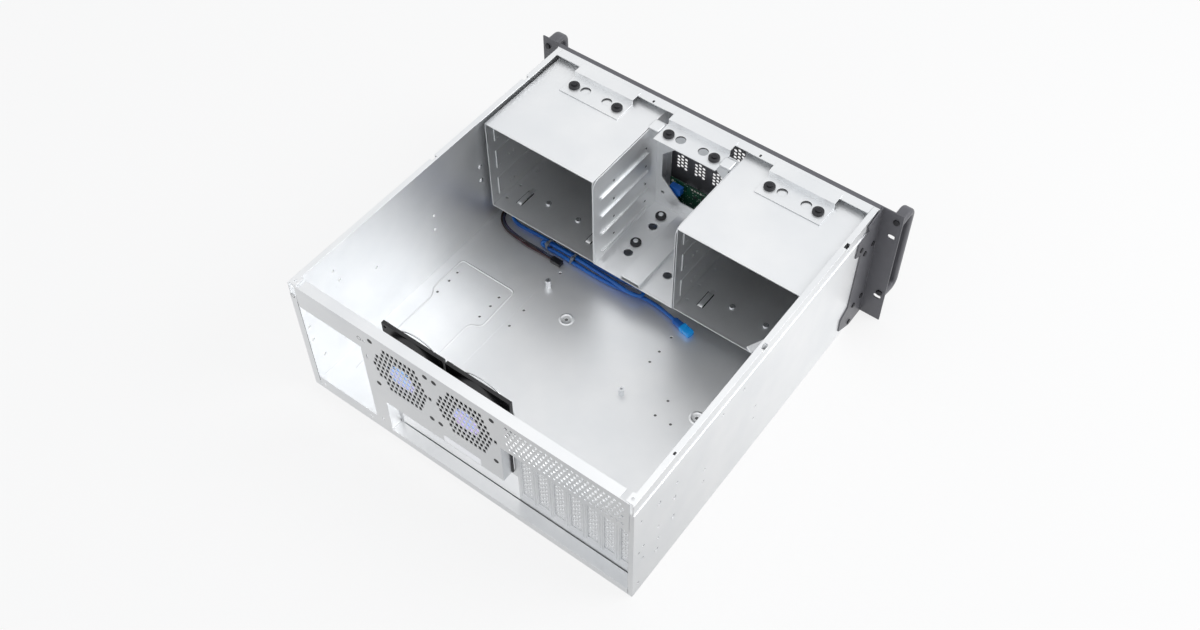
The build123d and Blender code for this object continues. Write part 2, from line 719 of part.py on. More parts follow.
def make_cage(side):
    """One cage; side 1 is at +X."""
    outer_x = cage_outer_x
    inner_x = cage_inner_x
    y_range = (cage_front, cage_rear)
    insets = left_cage_holes if side > 0 else right_cage_holes
    floor_places = [(cage_outer_x - across % cage_width, cage_rear - along) for across, along in insets]
    lances = [(cage_outer_x - inset % cage_width, cage_rear - lance_from_rear) for inset in lance_insets]
    floor_cuts = [round_hole(x, y, cage_hole_diameter) for x, y in floor_places]
    floor_cuts += [round_hole(x, cage_screw_y, cage_hole_diameter) for x in cage_screw_places]
    floor_cuts += [square_hole(x, y, lance_width, lance_length) for x, y in lances]
    hanger_x = abs(hanger_centres[0])
    top_cuts = [round_hole(hanger_x + a * grommet_offset, grommet_y, 2 * grommet_neck_radius) for a in (-1, 1)]
    floor = flat_sheet("z", cage_bottom, cage_bottom + sheet, rectangle((inner_x, outer_x), y_range), floor_cuts)
    top = flat_sheet("z", cage_top - sheet, cage_top, rectangle((inner_x, outer_x), y_range), top_cuts)
    side_holes = []
    pieces = []
    for bay in range(drive_bay_count):
        middle = cage_bottom + sheet + (bay + 0.5) * cage_bay_pitch
        side_holes += [round_hole(cage_rear - d, middle - 8.0, cage_hole_diameter) for d in (34.0, 42.0, 98.0)]
        ridge_z = middle + rib_height / 2
        for wall_x, sign in ((inner_x + sheet, 1), (outer_x - sheet, -1)):
            pieces.append(block((wall_x, wall_x + sign * rail_ridge), (cage_front + 4, cage_rear - rib_from_rear),
                                (ridge_z, ridge_z + rail_ridge_width)))
            pieces.append(block((wall_x, wall_x + sign * rail_ridge),
                                (cage_rear - rib_from_rear, cage_rear - rib_from_rear + rail_ridge_width),
                                (ridge_z - rib_height, ridge_z + rail_ridge_width)))
            pieces.append(block((wall_x, wall_x + sign * rail_ridge),
                                (cage_rear - rib_from_rear - rib_width, cage_rear - rib_from_rear),
                                (ridge_z - rib_height, ridge_z - rib_height + rail_ridge_width)))
    for wall_x in (inner_x, outer_x - sheet):
        outline = rectangle(y_range, (cage_bottom, cage_top))
        pieces.append(flat_sheet("x", wall_x, wall_x + sheet, outline, side_holes))
    bridges = [block((x - lance_width / 4, x + lance_width / 4), (y - lance_length / 2, y + lance_length / 2),
                     (cage_bottom, cage_bottom + sheet)) for x, y in lances]
    cage = floor + [top] + pieces + bridges
    return cage if side > 0 else mirrored(cage)


nodes["drive_cage_left"] = make_cage(1)
nodes["drive_cage_right"] = make_cage(-1)


# Centre bracket: a U of sheet steel between the cages, with lanced rails for small drives
keyhole_places = ((32.5, bracket_rear - 86.4), (32.2, bracket_rear - 36.8), (-24.3, bracket_rear - 35.7))
bracket_grommet_places = ((33.9, bracket_rear - 104.8), (33.6, bracket_rear - 53.7))
keyhole_diameter = 11.0
hat_range = (-10.0, 16.0)
hat_height = 6.0
bracket_corner = 10.0
rail_hole_insets = (37.6, 98.3)
rail_hole_rise = 8.8
rail_hole_diameter = 3.0


def bracket_wall():
    """The +X wall of the bracket, its upper rear corner rounded."""
    low = cage_bottom
    arc = [(bracket_rear - bracket_corner * (1 - math.cos(t)), bracket_top - bracket_corner * (1 - math.sin(t)))
           for t in (math.radians(a) for a in (0, 22.5, 45, 67.5, 90))]
    outline = [(bracket_front, low), (bracket_rear, low)] + arc + [(bracket_front, bracket_top)]
    holes = [round_hole(bracket_rear - inset, z + rail_hole_rise, rail_hole_diameter)
             for z in rail_heights for inset in rail_hole_insets]
    wall = flat_sheet("x", bracket_outer - sheet, bracket_outer, outline, holes)
    inner = bracket_outer - sheet
    rails = []
    for z in rail_heights:
        section = Face(Wire.make_polygon([Vector(inner, rail_front, z), Vector(inner - rail_reach, rail_front, z),
                                          Vector(inner, rail_front, z - rail_drop)], close=True))
        rails.append(Solid.extrude(section, Vector(0, rail_rear - rail_front, 0)))
    return wall + rails


def make_bracket():
    inner = bracket_outer - sheet
    holes = [round_hole(x, y, keyhole_diameter) for x, y in keyhole_places]
    holes += [round_hole(x, y, 2 * grommet_neck_radius + 2 * seat_gap) for x, y in bracket_grommet_places]
    floor = flat_sheet("z", cage_bottom, cage_bottom + sheet,
                       rectangle((-inner, inner), (bracket_front, bracket_rear)), holes)
    hat = [
        block(hat_range, (bracket_front, bracket_rear),
              (cage_bottom + hat_height, cage_bottom + hat_height + sheet)),
        block((hat_range[0], hat_range[0] + sheet), (bracket_front, bracket_rear),
              (cage_bottom, cage_bottom + hat_height)),
        block((hat_range[1] - sheet, hat_range[1]), (bracket_front, bracket_rear),
              (cage_bottom, cage_bottom + hat_height)),
    ]
    wall = bracket_wall()
    return floor + hat + [wall, mirrored(wall)]


nodes["centre_bracket"] = make_bracket()


# Front fan plate: stands on the front of the bracket, with a flat-sided opening for the air
def make_fan_plate():
    middle = fan_plate_aperture_bottom + fan_plate_aperture / 2
    half = fan_plate_screw_spacing / 2
    holes = [many_sided_hole(0, middle, fan_plate_aperture, 8, 22.5)]
    holes += [round_hole(a * half, middle + b * half, 4.4) for a in (-1, 1) for b in (-1, 1)]
    inner = bracket_outer
    return flat_sheet("y", bracket_front - front_sheet, bracket_front,
                      rectangle((-inner, inner), (cage_bottom, cage_top - seat_gap)), holes)


nodes["fan_plate"] = make_fan_plate()


# Hangers: stepped plates that join the front flange to the cages through rubber grommets
hanger_top = body_height + sheet
entry_hole_diameter = 12.0


def make_hanger(centre_x):
    x_range = (centre_x - hanger_width / 2, centre_x + hanger_width / 2)
    tab = block(x_range, (hanger_tab_front, hanger_step), (body_height, hanger_top))
    riser = block(x_range, (hanger_step - sheet, hanger_step), (hanger_plate_height, hanger_top))
    holes = [round_hole(centre_x + a * grommet_offset, grommet_y, 2 * grommet_neck_radius) for a in (-1, 1)]
    holes += [round_hole(centre_x + a * entry_hole_offset, grommet_y - 1.5, entry_hole_diameter)
              for a in (-1, 1)]
    plate = flat_sheet("z", hanger_plate_height, hanger_plate_height + sheet,
                       rectangle(x_range, (hanger_step - sheet, hanger_rear)), holes)
    return plate + [riser, tab]


for centre_x, name in zip(hanger_centres, ("left", "centre", "right")):
    nodes[f"hanger_{name}"] = make_hanger(centre_x)

grommets = []
grommet_screws = []
for centre_x in hanger_centres:
    for sign in (-1, 1):
        place = (centre_x + sign * grommet_offset, grommet_y)
        seat = hanger_plate_height + sheet
        body = rod("z", place, grommet_outer_radius, seat, seat + grommet_thickness)
        body = body.fillet(0.8, body.edges().group_by(Axis.Z)[-1])
        neck = rod("z", place, grommet_neck_radius - 0.1, seat - 2 * sheet, seat)
        bore = rod("z", place, 2.0, seat - 3 * sheet, seat + grommet_thickness + 1)
        grommets.append((body + neck) - bore)
        grommet_screws.append(pan_screw("z", place, seat + grommet_thickness, 3.4, 1.9, 1.8, 9.0))
nodes["hanger_grommets"] = grommets
nodes["hanger_screws"] = grommet_screws


# Rubber grommets in the bracket floor, each with a pale pin through it
bracket_grommets = []
bracket_pins = []
for place in bracket_grommet_places:
    seat = cage_bottom + sheet
    body = rod("z", place, grommet_outer_radius, seat, seat + grommet_thickness)
    body = body.fillet(0.8, body.edges().group_by(Axis.Z)[-1])
    neck = rod("z", place, grommet_neck_radius, seat - 1.5 * sheet, seat)
    bore = rod("z", place, 2.0, seat - 3 * sheet, seat + grommet_thickness + 1)
    bracket_grommets.append((body + neck) - bore)
    bracket_pins.append(pan_screw("z", place, seat + grommet_thickness, 3.0, 1.8, 1.8, 7.0))
nodes["bracket_grommets"] = bracket_grommets
nodes["bracket_pins"] = bracket_pins


# Rack ears: a bent plate each side, its long leg on the wall and its short leg across the front
ear_upper_corners = ((25.1, 5.8), (21.0, 15.0), (42.0, 18.0), (43.6, 38.6), (31.2, 43.8))
ear_lower_corners = ((34.2, 44.0), (48.1, 33.3), (47.4, 13.5), (22.2, 0.0))
ear_leg_outline = [(bezel_front, body_height)]
ear_leg_outline += [(front_face + behind, body_height - below) for behind, below in ear_upper_corners]
ear_leg_outline += [(front_face + behind, z) for behind, z in ear_lower_corners] + [(bezel_front, 0.0)]
ear_upper_screws = ((4.0, 50.2), (32.8, 34.7), (21.5, 50.6))
ear_lower_screws = ((4.3, 35.6), (21.3, 35.3), (24.2, 8.0))
ear_screw_places = [(front_face + behind, body_height - below) for behind, below in ear_upper_screws]
ear_screw_places += [(front_face + behind, z) for behind, z in ear_lower_screws]
ear_screw_radius = 1.4
handle_screw_x = ear_outer - handle_bar_width / 2
handle_screw_heights = (handle_foot_bottom + handle_bar_thickness / 2, handle_top - handle_bar_thickness / 2)
handle_screw_bite = 7.4


def make_ear():
    leg = flat_sheet("x", half_width, ear_inner, ear_leg_outline,
                     [round_hole(y, z, 2 * ear_screw_radius + 0.4) for y, z in ear_screw_places])
    holes = [long_hole(rack_slot_x, z, rack_slot_length, rack_slot_width) for z in rack_slot_heights]
    holes += [round_hole(handle_screw_x, z, 4.4) for z in handle_screw_heights]
    face = flat_sheet("y", bezel_front, bezel_front + ear_sheet,
                      rectangle((ear_inner, ear_outer), (0, body_height)), holes)
    return leg + face


nodes["ear_left"] = make_ear()
nodes["ear_right"] = mirrored(make_ear())


# Bow handles: one bent bar each, screwed to the ear from behind; the lower leg slants up to clear the slot
def make_handle():
    thick = handle_bar_thickness / 2
    front = bezel_front - handle_reach + thick
    low = handle_bottom + thick
    foot_low, foot_high = handle_screw_heights
    beyond = (foot_low - low) / (bezel_front - front) * thick
    path = FilletPolyline((handle_screw_x, bezel_front + thick, foot_low + beyond), (handle_screw_x, front, low),
                          (handle_screw_x, front, foot_high), (handle_screw_x, bezel_front, foot_high),
                          radius=handle_bar_thickness)
    start = Plane(origin=path @ 0, x_dir=(1, 0, 0), z_dir=path % 0)
    section = start * RectangleRounded(handle_bar_width, handle_bar_thickness, handle_bar_thickness * 0.42)
    bar = sweep(section, path=path)
    beyond_ear = block((ear_inner, ear_outer + thick), (bezel_front, bezel_front + 3 * thick), (0, body_height))
    holes = [rod("y", (handle_screw_x, z), 1.7, bezel_front - handle_screw_bite - 1, bezel_front)
             for z in handle_screw_heights]
    return bar - ([beyond_ear] + holes)


handle_left = make_handle()
nodes["handle_left"] = handle_left
nodes["handle_right"] = mirrored(handle_left)

handle_screws = []
for z in handle_screw_heights:
    screw = pan_screw("y", (handle_screw_x, z), bezel_front + ear_sheet, 3.6, 2.2, 1.6,
                      ear_sheet + handle_screw_bite)
    handle_screws += [screw, mirrored(screw)]
nodes["handle_screws"] = handle_screws

ear_screws = []
for y, z in ear_screw_places:
    screw = pan_screw("x", (y, z), ear_inner, 3.2, 1.4, ear_screw_radius, ear_sheet)
    ear_screws += [screw, mirrored(screw)]
nodes["ear_screws"] = ear_screws


# Rear fans: a moulded frame with a bearing tube on four arms, and a bladed rotor on a steel shaft
fan_hole_radius = 2.1
bearing_tube_radius = 4.0
arm_width = 5.0
arm_depth = 3.0
holder_radius = 17.0


def make_fan_frame():
    """A fan frame about the axis x = 0, z = 0, its exhaust side against the rear panel."""
    half = fan_size / 2
    corner = fan_screw_spacing / 2
    y_rear = fan_rear
    y_front = fan_front
    plates = []
    for low, high in ((y_rear - fan_flange, y_rear), (y_front, y_front + fan_flange)):
        outline = rectangle((-half, half), (-half, half))
        holes = [round_hole(0, 0, fan_bore)]
        holes += [round_hole(a * corner, b * corner, 2 * fan_hole_radius) for a in (-1, 1) for b in (-1, 1)]
        plate = flat_sheet("y", low, high, outline, holes)
        plates.append(plate)
    duct = rod("y", (0, 0), half - 0.2, y_front + fan_flange, y_rear - fan_flange)
    duct = duct - rod("y", (0, 0), fan_bore / 2, y_front, y_rear)
    arms_rear = y_rear - 0.6
    holder = rod("y", (0, 0), holder_radius, arms_rear - arm_depth, arms_rear)
    tube = rod("y", (0, 0), bearing_tube_radius, arms_rear - 15.0, arms_rear)
    arms = []
    for number in range(fan_arm_count):
        arm = block((holder_radius - 1.5, fan_bore / 2 + 0.5), (arms_rear - arm_depth, arms_rear),
                    (-arm_width / 2, arm_width / 2))
        arms.append(arm.rotate(Axis.Y, 45 + number * 360 / fan_arm_count))
    bore = rod("y", (0, 0), fan_shaft_radius + fan_bearing_clearance, arms_rear - 16.0, arms_rear - arm_depth + 1)
    frame = (plates[0] + [plates[1], duct, holder, tube] + arms) - bore
    return frame


def make_fan_rotor():
    """A rotor about the same axis: a cup-shaped hub, seven slanted blades and the shaft."""
    y_front = fan_front + 1.5
    y_rear = fan_rear - 0.6 - arm_depth - 1.5
    hub = rod("y", (0, 0), fan_hub_radius, y_front, y_rear)
    hub = hub.fillet(2.0, [e for e in hub.edges() if abs(e.center().Y - y_front) < 1e-6])
    hub = hub - rod("y", (0, 0), fan_hub_radius - 1.6, y_front + 1.6, y_rear + 1)
    shaft = rod("y", (0, 0), fan_shaft_radius, y_front + 1.0, y_rear - 1.5)
    tip = fan_bore / 2 - fan_tip_clearance
    chord = 19.0
    blades = []
    for number in range(fan_blade_count):
        blade = Box(tip - fan_hub_radius + 1.0, 1.4, chord)
        blade_middle = Location(((tip + fan_hub_radius - 1.0) / 2, (y_front + y_rear) / 2, 0))
        blade = blade.rotate(Axis.X, fan_blade_angle).moved(blade_middle)
        blades.append(blade.rotate(Axis.Y, number * 360 / fan_blade_count))
    ring_space = rod("y", (0, 0), tip, y_front, y_rear)
    ring_space -= rod("y", (0, 0), fan_hub_radius - 0.8, y_front - 1, y_rear + 1)
    trimmed = [blade & ring_space for blade in blades]
    return hub + [shaft] + trimmed


def make_guard():
    """A wire guard: rings joined by four wires that end at the screws."""
    wire = guard_wire / 2
    arm_y = fan_front - wire
    ring_y = arm_y - 0.8 * guard_wire
    corner = fan_screw_spacing / 2 * math.sqrt(2)
    rings = [Solid.make_torus(radius, wire, Plane(origin=(0, ring_y, 0), x_dir=(1, 0, 0), z_dir=(0, 1, 0)))
             for radius in (10.0, 18.5, 27.0, 35.5)]
    arms = []
    for number in range(4):
        arm = Solid.make_cylinder(wire, corner - 9.0, Plane(origin=(9.0, arm_y, 0), z_dir=(1, 0, 0)))
        eye = rod("y", (corner, 0), 3.2, arm_y - wire, arm_y + wire)
        hole = rod("y", (corner, 0), 2.0, arm_y - guard_wire, arm_y + guard_wire)
        arms.append(((arm + eye) - hole).rotate(Axis.Y, 45 + number * 90))
    return rings[0] + rings[1:] + arms


fan_frame = make_fan_frame()
fan_rotor = make_fan_rotor()
fan_guard = make_guard()
fan_screws = []
for number, centre_x in enumerate(fan_centres_x, 1):
    place = Location((centre_x, 0, fan_centre_z))
    nodes[f"fan_frame_{number}"] = fan_frame.moved(place)
    nodes[f"fan_rotor_{number}"] = fan_rotor.moved(place)
    nodes[f"fan_guard_{number}"] = fan_guard.moved(place)
    for a in (-1, 1):
        for b in (-1, 1):
            at = (centre_x + a * fan_screw_spacing / 2, fan_centre_z + b * fan_screw_spacing / 2)
            head = rod("y", at, fan_hole_diameter / 2 - 0.2, -sheet, 0)
            shank = rod("y", at, fan_hole_radius - 0.2, -sheet - 9.0, -sheet)
            fan_screws.append(head + shank)
nodes["fan_screws"] = fan_screws


# Board standoffs: hexagonal posts with a tapped top
def make_standoff(x, y):
    post = flat_sheet("z", sheet, sheet + standoff_height, many_sided_hole(x, y, standoff_flats, 6))
    return post - rod("z", (x, y), 1.3, sheet + 3.0, sheet + standoff_height + 1)


nodes["standoffs"] = [make_standoff(x, y) for x, y in standoff_places]


# Front port board, its sockets, and the two buttons and two light lenses in the bezel
board_front = port_board_rear - port_board_thickness
bezel_inside = bezel_front + bezel_sheet
header_width = 18.0
header_height = 8.0
header_depth = 2.0
cable_header_x = 29.0
cable_header_z = 66.0
lead_header_x = -21.0
lead_header_bottom = 44.0
lead_header_depth = 8.0


def make_port_board():
    board = block((port_board_right, port_board_left), (board_front, port_board_rear),
                  (port_board_bottom, port_board_top))
    feet = []
    for x in (port_board_right + 4, port_board_left - 4):
        feet.append(rod("y", (x, port_board_bottom + 8), 2.5, bezel_inside, board_front))
    switches = []
    for z in (power_button_z, reset_button_z):
        switches.append(block((control_x - 3, control_x + 3), (board_front - 4.0, board_front), (z - 3, z + 3)))
    cable_header = block((cable_header_x - header_width / 2, cable_header_x + header_width / 2),
                         (port_board_rear, port_board_rear + header_depth),
                         (cable_header_z - header_height / 2, cable_header_z + header_height / 2))
    lead_header = block((lead_header_x - header_width / 2, lead_header_x + header_width / 2),
                        (port_board_rear, port_board_rear + lead_header_depth),
                        (lead_header_bottom, lead_header_bottom + header_height))
    return board + feet + switches + [cable_header, lead_header]


nodes["port_board"] = make_port_board()

sockets = []
for x in port_centres_x:
    shell = block((x - port_width / 2, x + port_width / 2), (bezel_front, board_front),
                  (port_centre_z - port_height / 2, port_centre_z + port_height / 2))
    mouth = block((x - port_width / 2 + 0.7, x + port_width / 2 - 0.7), (bezel_front - 1, board_front - 3),
                  (port_centre_z - port_height / 2 + 0.7, port_centre_z + port_height / 2 - 0.7))
    tongue = block((x - port_width / 2 + 1.6, x + port_width / 2 - 1.6), (bezel_front + 1, board_front - 3),
                   (port_centre_z + 0.4, port_centre_z + 2.2))
    sockets.append((shell - mouth) + tongue)
nodes["front_port_sockets"] = sockets


def make_button(z, diameter, proud):
    """A round button: its cap stands out of the bezel and a wider collar behind keeps it in."""
    switch_front = board_front - 4.0
    stem = rod("y", (control_x, z), diameter / 2, bezel_front - proud, bezel_inside + button_travel + 1.0)
    collar = rod("y", (control_x, z), diameter / 2 + 1.2, bezel_inside + seat_gap, bezel_inside + seat_gap + 1.2)
    pin = rod("y", (control_x, z), 1.2, bezel_inside, switch_front - button_travel - seat_gap)
    return stem + [collar, pin]


nodes["power_button"] = make_button(power_button_z, power_button_diameter, 1.6)
nodes["reset_button"] = make_button(reset_button_z, reset_button_diameter, 1.4)

lenses = []
for x in light_x:
    lens = rod("y", (x, reset_button_z), light_diameter / 2 - 0.05, bezel_front - 0.5, bezel_inside + 2.0)
    flange = rod("y", (x, reset_button_z), light_diameter / 2 + 0.8, bezel_inside, bezel_inside + 1.0)
    lead = rod("y", (x, reset_button_z), 0.9, bezel_inside, board_front)
    lenses.append(lens + [flange, lead])
nodes["light_lenses"] = lenses


# Screws seen on the cage floors and beside the left cage
def floor_screw(x, y):
    return pan_screw("z", (x, y), cage_bottom + sheet, 3.6, 1.8, 1.5, 4.0)


nodes["cage_screws"] = [floor_screw(side * x, cage_screw_y) for side in (-1, 1) for x in cage_screw_places]


# Latch strap: a short flat arm with a screw, lying on the floor of the right cage
strap_start = Vector(50.5 - cage_outer_x, cage_rear - 1.5)
strap_end = Vector(38.5 - cage_outer_x, cage_rear - 26.0)
strap_screw_place = Vector(40.0 - cage_outer_x, cage_rear - 22.0)
strap_width = 8.0
strap_sheet = 1.2


def make_strap():
    run = (strap_end - strap_start).normalized()
    across = Vector(-run.Y, run.X) * (strap_width / 2)
    corners = [strap_start + across, strap_end + across, strap_end - across, strap_start - across]
    hole = round_hole(strap_screw_place.X, strap_screw_place.Y, 3.6)
    return flat_sheet("z", cage_bottom + sheet, cage_bottom + sheet + strap_sheet,
                      [(p.X, p.Y) for p in corners], [hole])


nodes["cage_strap"] = make_strap()
nodes["strap_screw"] = pan_screw("z", (strap_screw_place.X, strap_screw_place.Y),
                                 cage_bottom + sheet + strap_sheet, 4.2, 2.6, 1.6, strap_sheet)


# Blue port cable: down from the board, under the left cage, a tied hank behind it, and a tail to its connector
cable_diameter = 4.4
cable_plug_width = 15.0
cable_plug_depth = 7.5
cable_plug_height = 10.0
hank_left = 138.0
hank_right = -8.0
hank_front = -318.0
hank_rear = -297.0
hank_bottom = 2.2
hank_top = 13.5
hank_corner = 4.0
cable_y = port_board_rear + header_depth + 2.8
cable_plug_bottom = cable_header_z - cable_plug_height / 2
cable_route = [
    (cable_header_x, cable_y, cable_plug_bottom), (cable_header_x, cable_y, 45.0), (29.6, -423.4, 26.5),
    (38.0, -420.5, 9.5), (58.0, -416.0, 3.8), (84.0, -409.0, 3.6), (120.0, -395.0, 3.6), (154.0, -376.0, 3.6),
    (182.0, -353.0, 3.6), (197.0, -336.0, 3.6), (198.0, -321.0, 3.6), (187.0, -310.5, 3.6), (168.0, -309.6, 4.0),
    (152.0, -310.6, 4.4), (hank_left, -310.6, 4.4),
]
tail_route = [(hank_right, -308.0, 4.4), (-22.0, -308.0, 4.4), (-38.0, -306.0, 4.8), (-54.0, -302.5, 4.8)]


def make_cord(route, diameter, name):
    """A tube of straight runs joined by arcs, each as large as its two runs allow; the radii are printed."""
    points = [Vector(*place) for place in route]
    runs = [after - before for before, after in zip(points, points[1:])]
    radii = []
    for before, after in zip(runs, runs[1:]):
        half_turn = math.radians(before.get_angle(after)) / 2
        radii.append(0.45 * min(before.length, after.length) / math.tan(half_turn))
    path = FilletPolyline(*points, radius=radii)
    section = Plane(origin=path @ 0, z_dir=path % 0) * Circle(diameter / 2)
    tube = sweep(section, path=path)
    share = tube.volume / (math.pi * diameter ** 2 / 4 * path.length)
    print(name, "length", round(path.length, 1), "volume share", round(share, 4))
    print("radii", [round(r, 1) for r in radii])
    return tube


def make_hank():
    slab = block((hank_right, hank_left), (hank_front, hank_rear), (hank_bottom, hank_top))
    return slab.fillet(hank_corner, slab.edges().filter_by(Axis.Z))


nodes["port_plug"] = block((cable_header_x - cable_plug_width / 2, cable_header_x + cable_plug_width / 2),
                           (port_board_rear + header_depth, port_board_rear + header_depth + cable_plug_depth),
                           (cable_plug_bottom, cable_plug_bottom + cable_plug_height))
nodes["port_cable"] = make_cord(cable_route, cable_diameter, "cable")
nodes["port_hank"] = make_hank()
nodes["port_tail"] = make_cord(tail_route, cable_diameter, "tail")

# The cable's far connector: a soft boot and a hard shell, lying on the floor
boot_length = 14.0
boot_width = 9.0
boot_height = 6.2
shell_length = 15.0
shell_width = 11.5
shell_height = 7.0


def make_far_plug():
    start = Vector(*tail_route[-1])
    run = start - Vector(*tail_route[-2])
    turn = math.degrees(math.atan2(run.Y, run.X))
    boot = block((0, boot_length), (-boot_width / 2, boot_width / 2), (-boot_height / 2, boot_height / 2))
    shell = block((boot_length, boot_length + shell_length), (-shell_width / 2, shell_width / 2),
                  (-shell_height / 2, shell_height / 2))
    shell = shell.fillet(1.2, shell.edges().filter_by(Axis.X))
    return (boot + shell).moved(Location(start, (0, 0, turn)))


nodes["far_plug"] = make_far_plug()

# Nylon ties round the hank
tie_places = (127.8, 91.8)
tie_width = 3.6
tie_sheet = 0.9


def make_tie(x):
    x_range = (x - tie_width / 2, x + tie_width / 2)
    outer = block(x_range, (hank_front - tie_sheet, hank_rear + tie_sheet),
                  (hank_bottom - tie_sheet, hank_top + tie_sheet))
    inner = block((x - tie_width, x + tie_width), (hank_front, hank_rear), (hank_bottom, hank_top))
    return outer - inner


nodes["cable_ties"] = [make_tie(x) for x in tie_places]

# Thin leads of the buttons and lights, laid as one bundle outside the cable, with their housing at the end
lead_bundle_diameter = 5.6
lead_y = port_board_rear + lead_header_depth - 3.5
lead_housing_length = 14.0
lead_housing_width = 7.6
lead_housing_height = 5.2
lead_end_x = 114.0
lead_end_y = -292.4
lead_route = [
    (lead_header_x, lead_y, lead_header_bottom), (lead_header_x, lead_y, 31.0), (-19.0, -424.6, 18.0),
    (-11.0, -425.4, 8.0), (3.0, -427.0, 4.4), (24.0, -430.2, 4.2), (50.0, -431.2, 4.2), (80.0, -427.5, 4.2),
    (115.0, -416.0, 4.2), (150.0, -397.5, 4.2), (182.0, -374.0, 4.2), (203.0, -350.0, 4.2), (208.5, -328.0, 4.2),
    (205.0, -308.0, 4.2), (190.0, -296.5, 4.2), (168.0, -293.0, 4.2), (147.0, -291.8, 4.2),
    (130.0, lead_end_y, 4.2), (lead_end_x, lead_end_y, 4.2),
]
nodes["lead_bundle"] = make_cord(lead_route, lead_bundle_diameter, "leads")
nodes["lead_plug"] = block((lead_end_x - lead_housing_length, lead_end_x),
                           (lead_end_y - lead_housing_width / 2 + 1.5, lead_end_y + lead_housing_width / 2 + 1.5),
                           (4.2 - lead_housing_height / 2, 4.2 + lead_housing_height / 2))


total = 0
for name, shape in nodes.items():
    solids = []
    for piece in (shape if isinstance(shape, list) else [shape]):
        solids += piece.solids()
    moved = [solid.moved(Location(origin_shift)) for solid in solids]
    total += sum(solid.volume for solid in moved)
    export_step(Compound(children=moved) if len(moved) > 1 else moved[0], f"parts/{name}.step")
print("nodes", len(nodes), "volume in cubic centimetres", round(total / 1000, 1))
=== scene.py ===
import math

import bpy
import numpy as np
from mathutils import Matrix


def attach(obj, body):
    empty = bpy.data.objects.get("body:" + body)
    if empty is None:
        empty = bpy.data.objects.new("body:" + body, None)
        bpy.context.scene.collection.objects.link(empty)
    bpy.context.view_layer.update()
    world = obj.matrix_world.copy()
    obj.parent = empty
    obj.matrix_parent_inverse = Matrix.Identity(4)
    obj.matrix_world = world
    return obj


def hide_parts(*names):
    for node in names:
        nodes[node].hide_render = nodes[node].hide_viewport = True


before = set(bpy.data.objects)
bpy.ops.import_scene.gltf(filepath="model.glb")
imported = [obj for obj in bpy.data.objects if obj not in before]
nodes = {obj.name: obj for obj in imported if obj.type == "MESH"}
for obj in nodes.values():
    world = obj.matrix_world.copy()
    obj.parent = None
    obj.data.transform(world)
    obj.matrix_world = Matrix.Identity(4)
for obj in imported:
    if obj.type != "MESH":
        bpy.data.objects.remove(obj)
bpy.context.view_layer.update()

# The camera stands behind the case's right rear corner and looks down at it, as the photograph does.
# Its place and angles were fitted to the case's corners, so it has a slight roll and a small shift.
# Left and right are as seen from behind the case, here and in the sections below.
camera_place = np.array([-0.5452, 0.7182, 1.2147])
camera_turn, camera_height, camera_roll = (math.radians(a) for a in (215.37, 50.53, 0.95))
focal_pixels = 1330.4
picture_width, picture_height = 1200, 630
axis_x, axis_y = 628.9, 268.7
sensor_width = 36.0

side = np.array([math.cos(camera_turn), math.sin(camera_turn), 0.0])
away = np.array([math.sin(camera_turn) * math.cos(camera_height),
                 -math.cos(camera_turn) * math.cos(camera_height), math.sin(camera_height)])
upward = np.cross(away, side)
camera_axes = np.eye(4)
camera_axes[:3, 0] = math.cos(camera_roll) * side + math.sin(camera_roll) * upward
camera_axes[:3, 1] = math.cos(camera_roll) * upward - math.sin(camera_roll) * side
camera_axes[:3, 2] = away
camera_axes[:3, 3] = camera_place
camera_data = bpy.data.cameras.new("camera")
camera_data.sensor_width = sensor_width
camera_data.lens = sensor_width * focal_pixels / picture_width
camera_data.shift_x = (picture_width / 2 - axis_x) / picture_width
camera_data.shift_y = (axis_y - picture_height / 2) / picture_width
camera = bpy.data.objects.new("camera", camera_data)
bpy.context.scene.collection.objects.link(camera)
camera.matrix_world = Matrix(camera_axes.tolist())
bpy.context.scene.camera = camera


# Blue port cable: a round flexible cable in soft PVC, 4.4 mm thick. It drops from the port board, runs under
# the left cage, is folded into a tied hank along the cage's rear edge and ends in a moulded connector.
def linear(text):
    """A colour written as #rrggbb in sRGB, turned to linear light with an alpha of one."""
    values = np.array([int(text[i:i + 2], 16) for i in (1, 3, 5)]) / 255
    values = np.where(values <= 0.04045, values / 12.92, ((values + 0.055) / 1.055) ** 2.4)
    return (*values.tolist(), 1.0)


def add(tree, kind, inputs=None, **settings):
    """Adds one node with its settings; each input is a plain value or the output that it is linked to."""
    made = tree.nodes.new(kind)
    for key, value in settings.items():
        setattr(made, key, value)
    for key, value in (inputs or {}).items():
        if isinstance(value, bpy.types.NodeSocket):
            tree.links.new(value, made.inputs[key])
        else:
            made.inputs[key].default_value = value
    return made


def new_material(name):
    """An empty node material: its tree, its surface shader and the object's own coordinates."""
    material = bpy.data.materials.new(name)
    material.use_nodes = True
    tree = material.node_tree
    tree.nodes.clear()
    shader = add(tree, "ShaderNodeBsdfPrincipled")
    add(tree, "ShaderNodeOutputMaterial", {"Surface": shader.outputs[0]})
    return material, tree, shader, add(tree, "ShaderNodeTexCoord").outputs["Object"]


rear_face = 238.5


def from_mm(points):
    """Points in millimetres from the case's rear face, floor and middle, as metres in the frame."""
    return (np.asarray(points, float) + [0.0, rear_face, 0.0]) / 1000


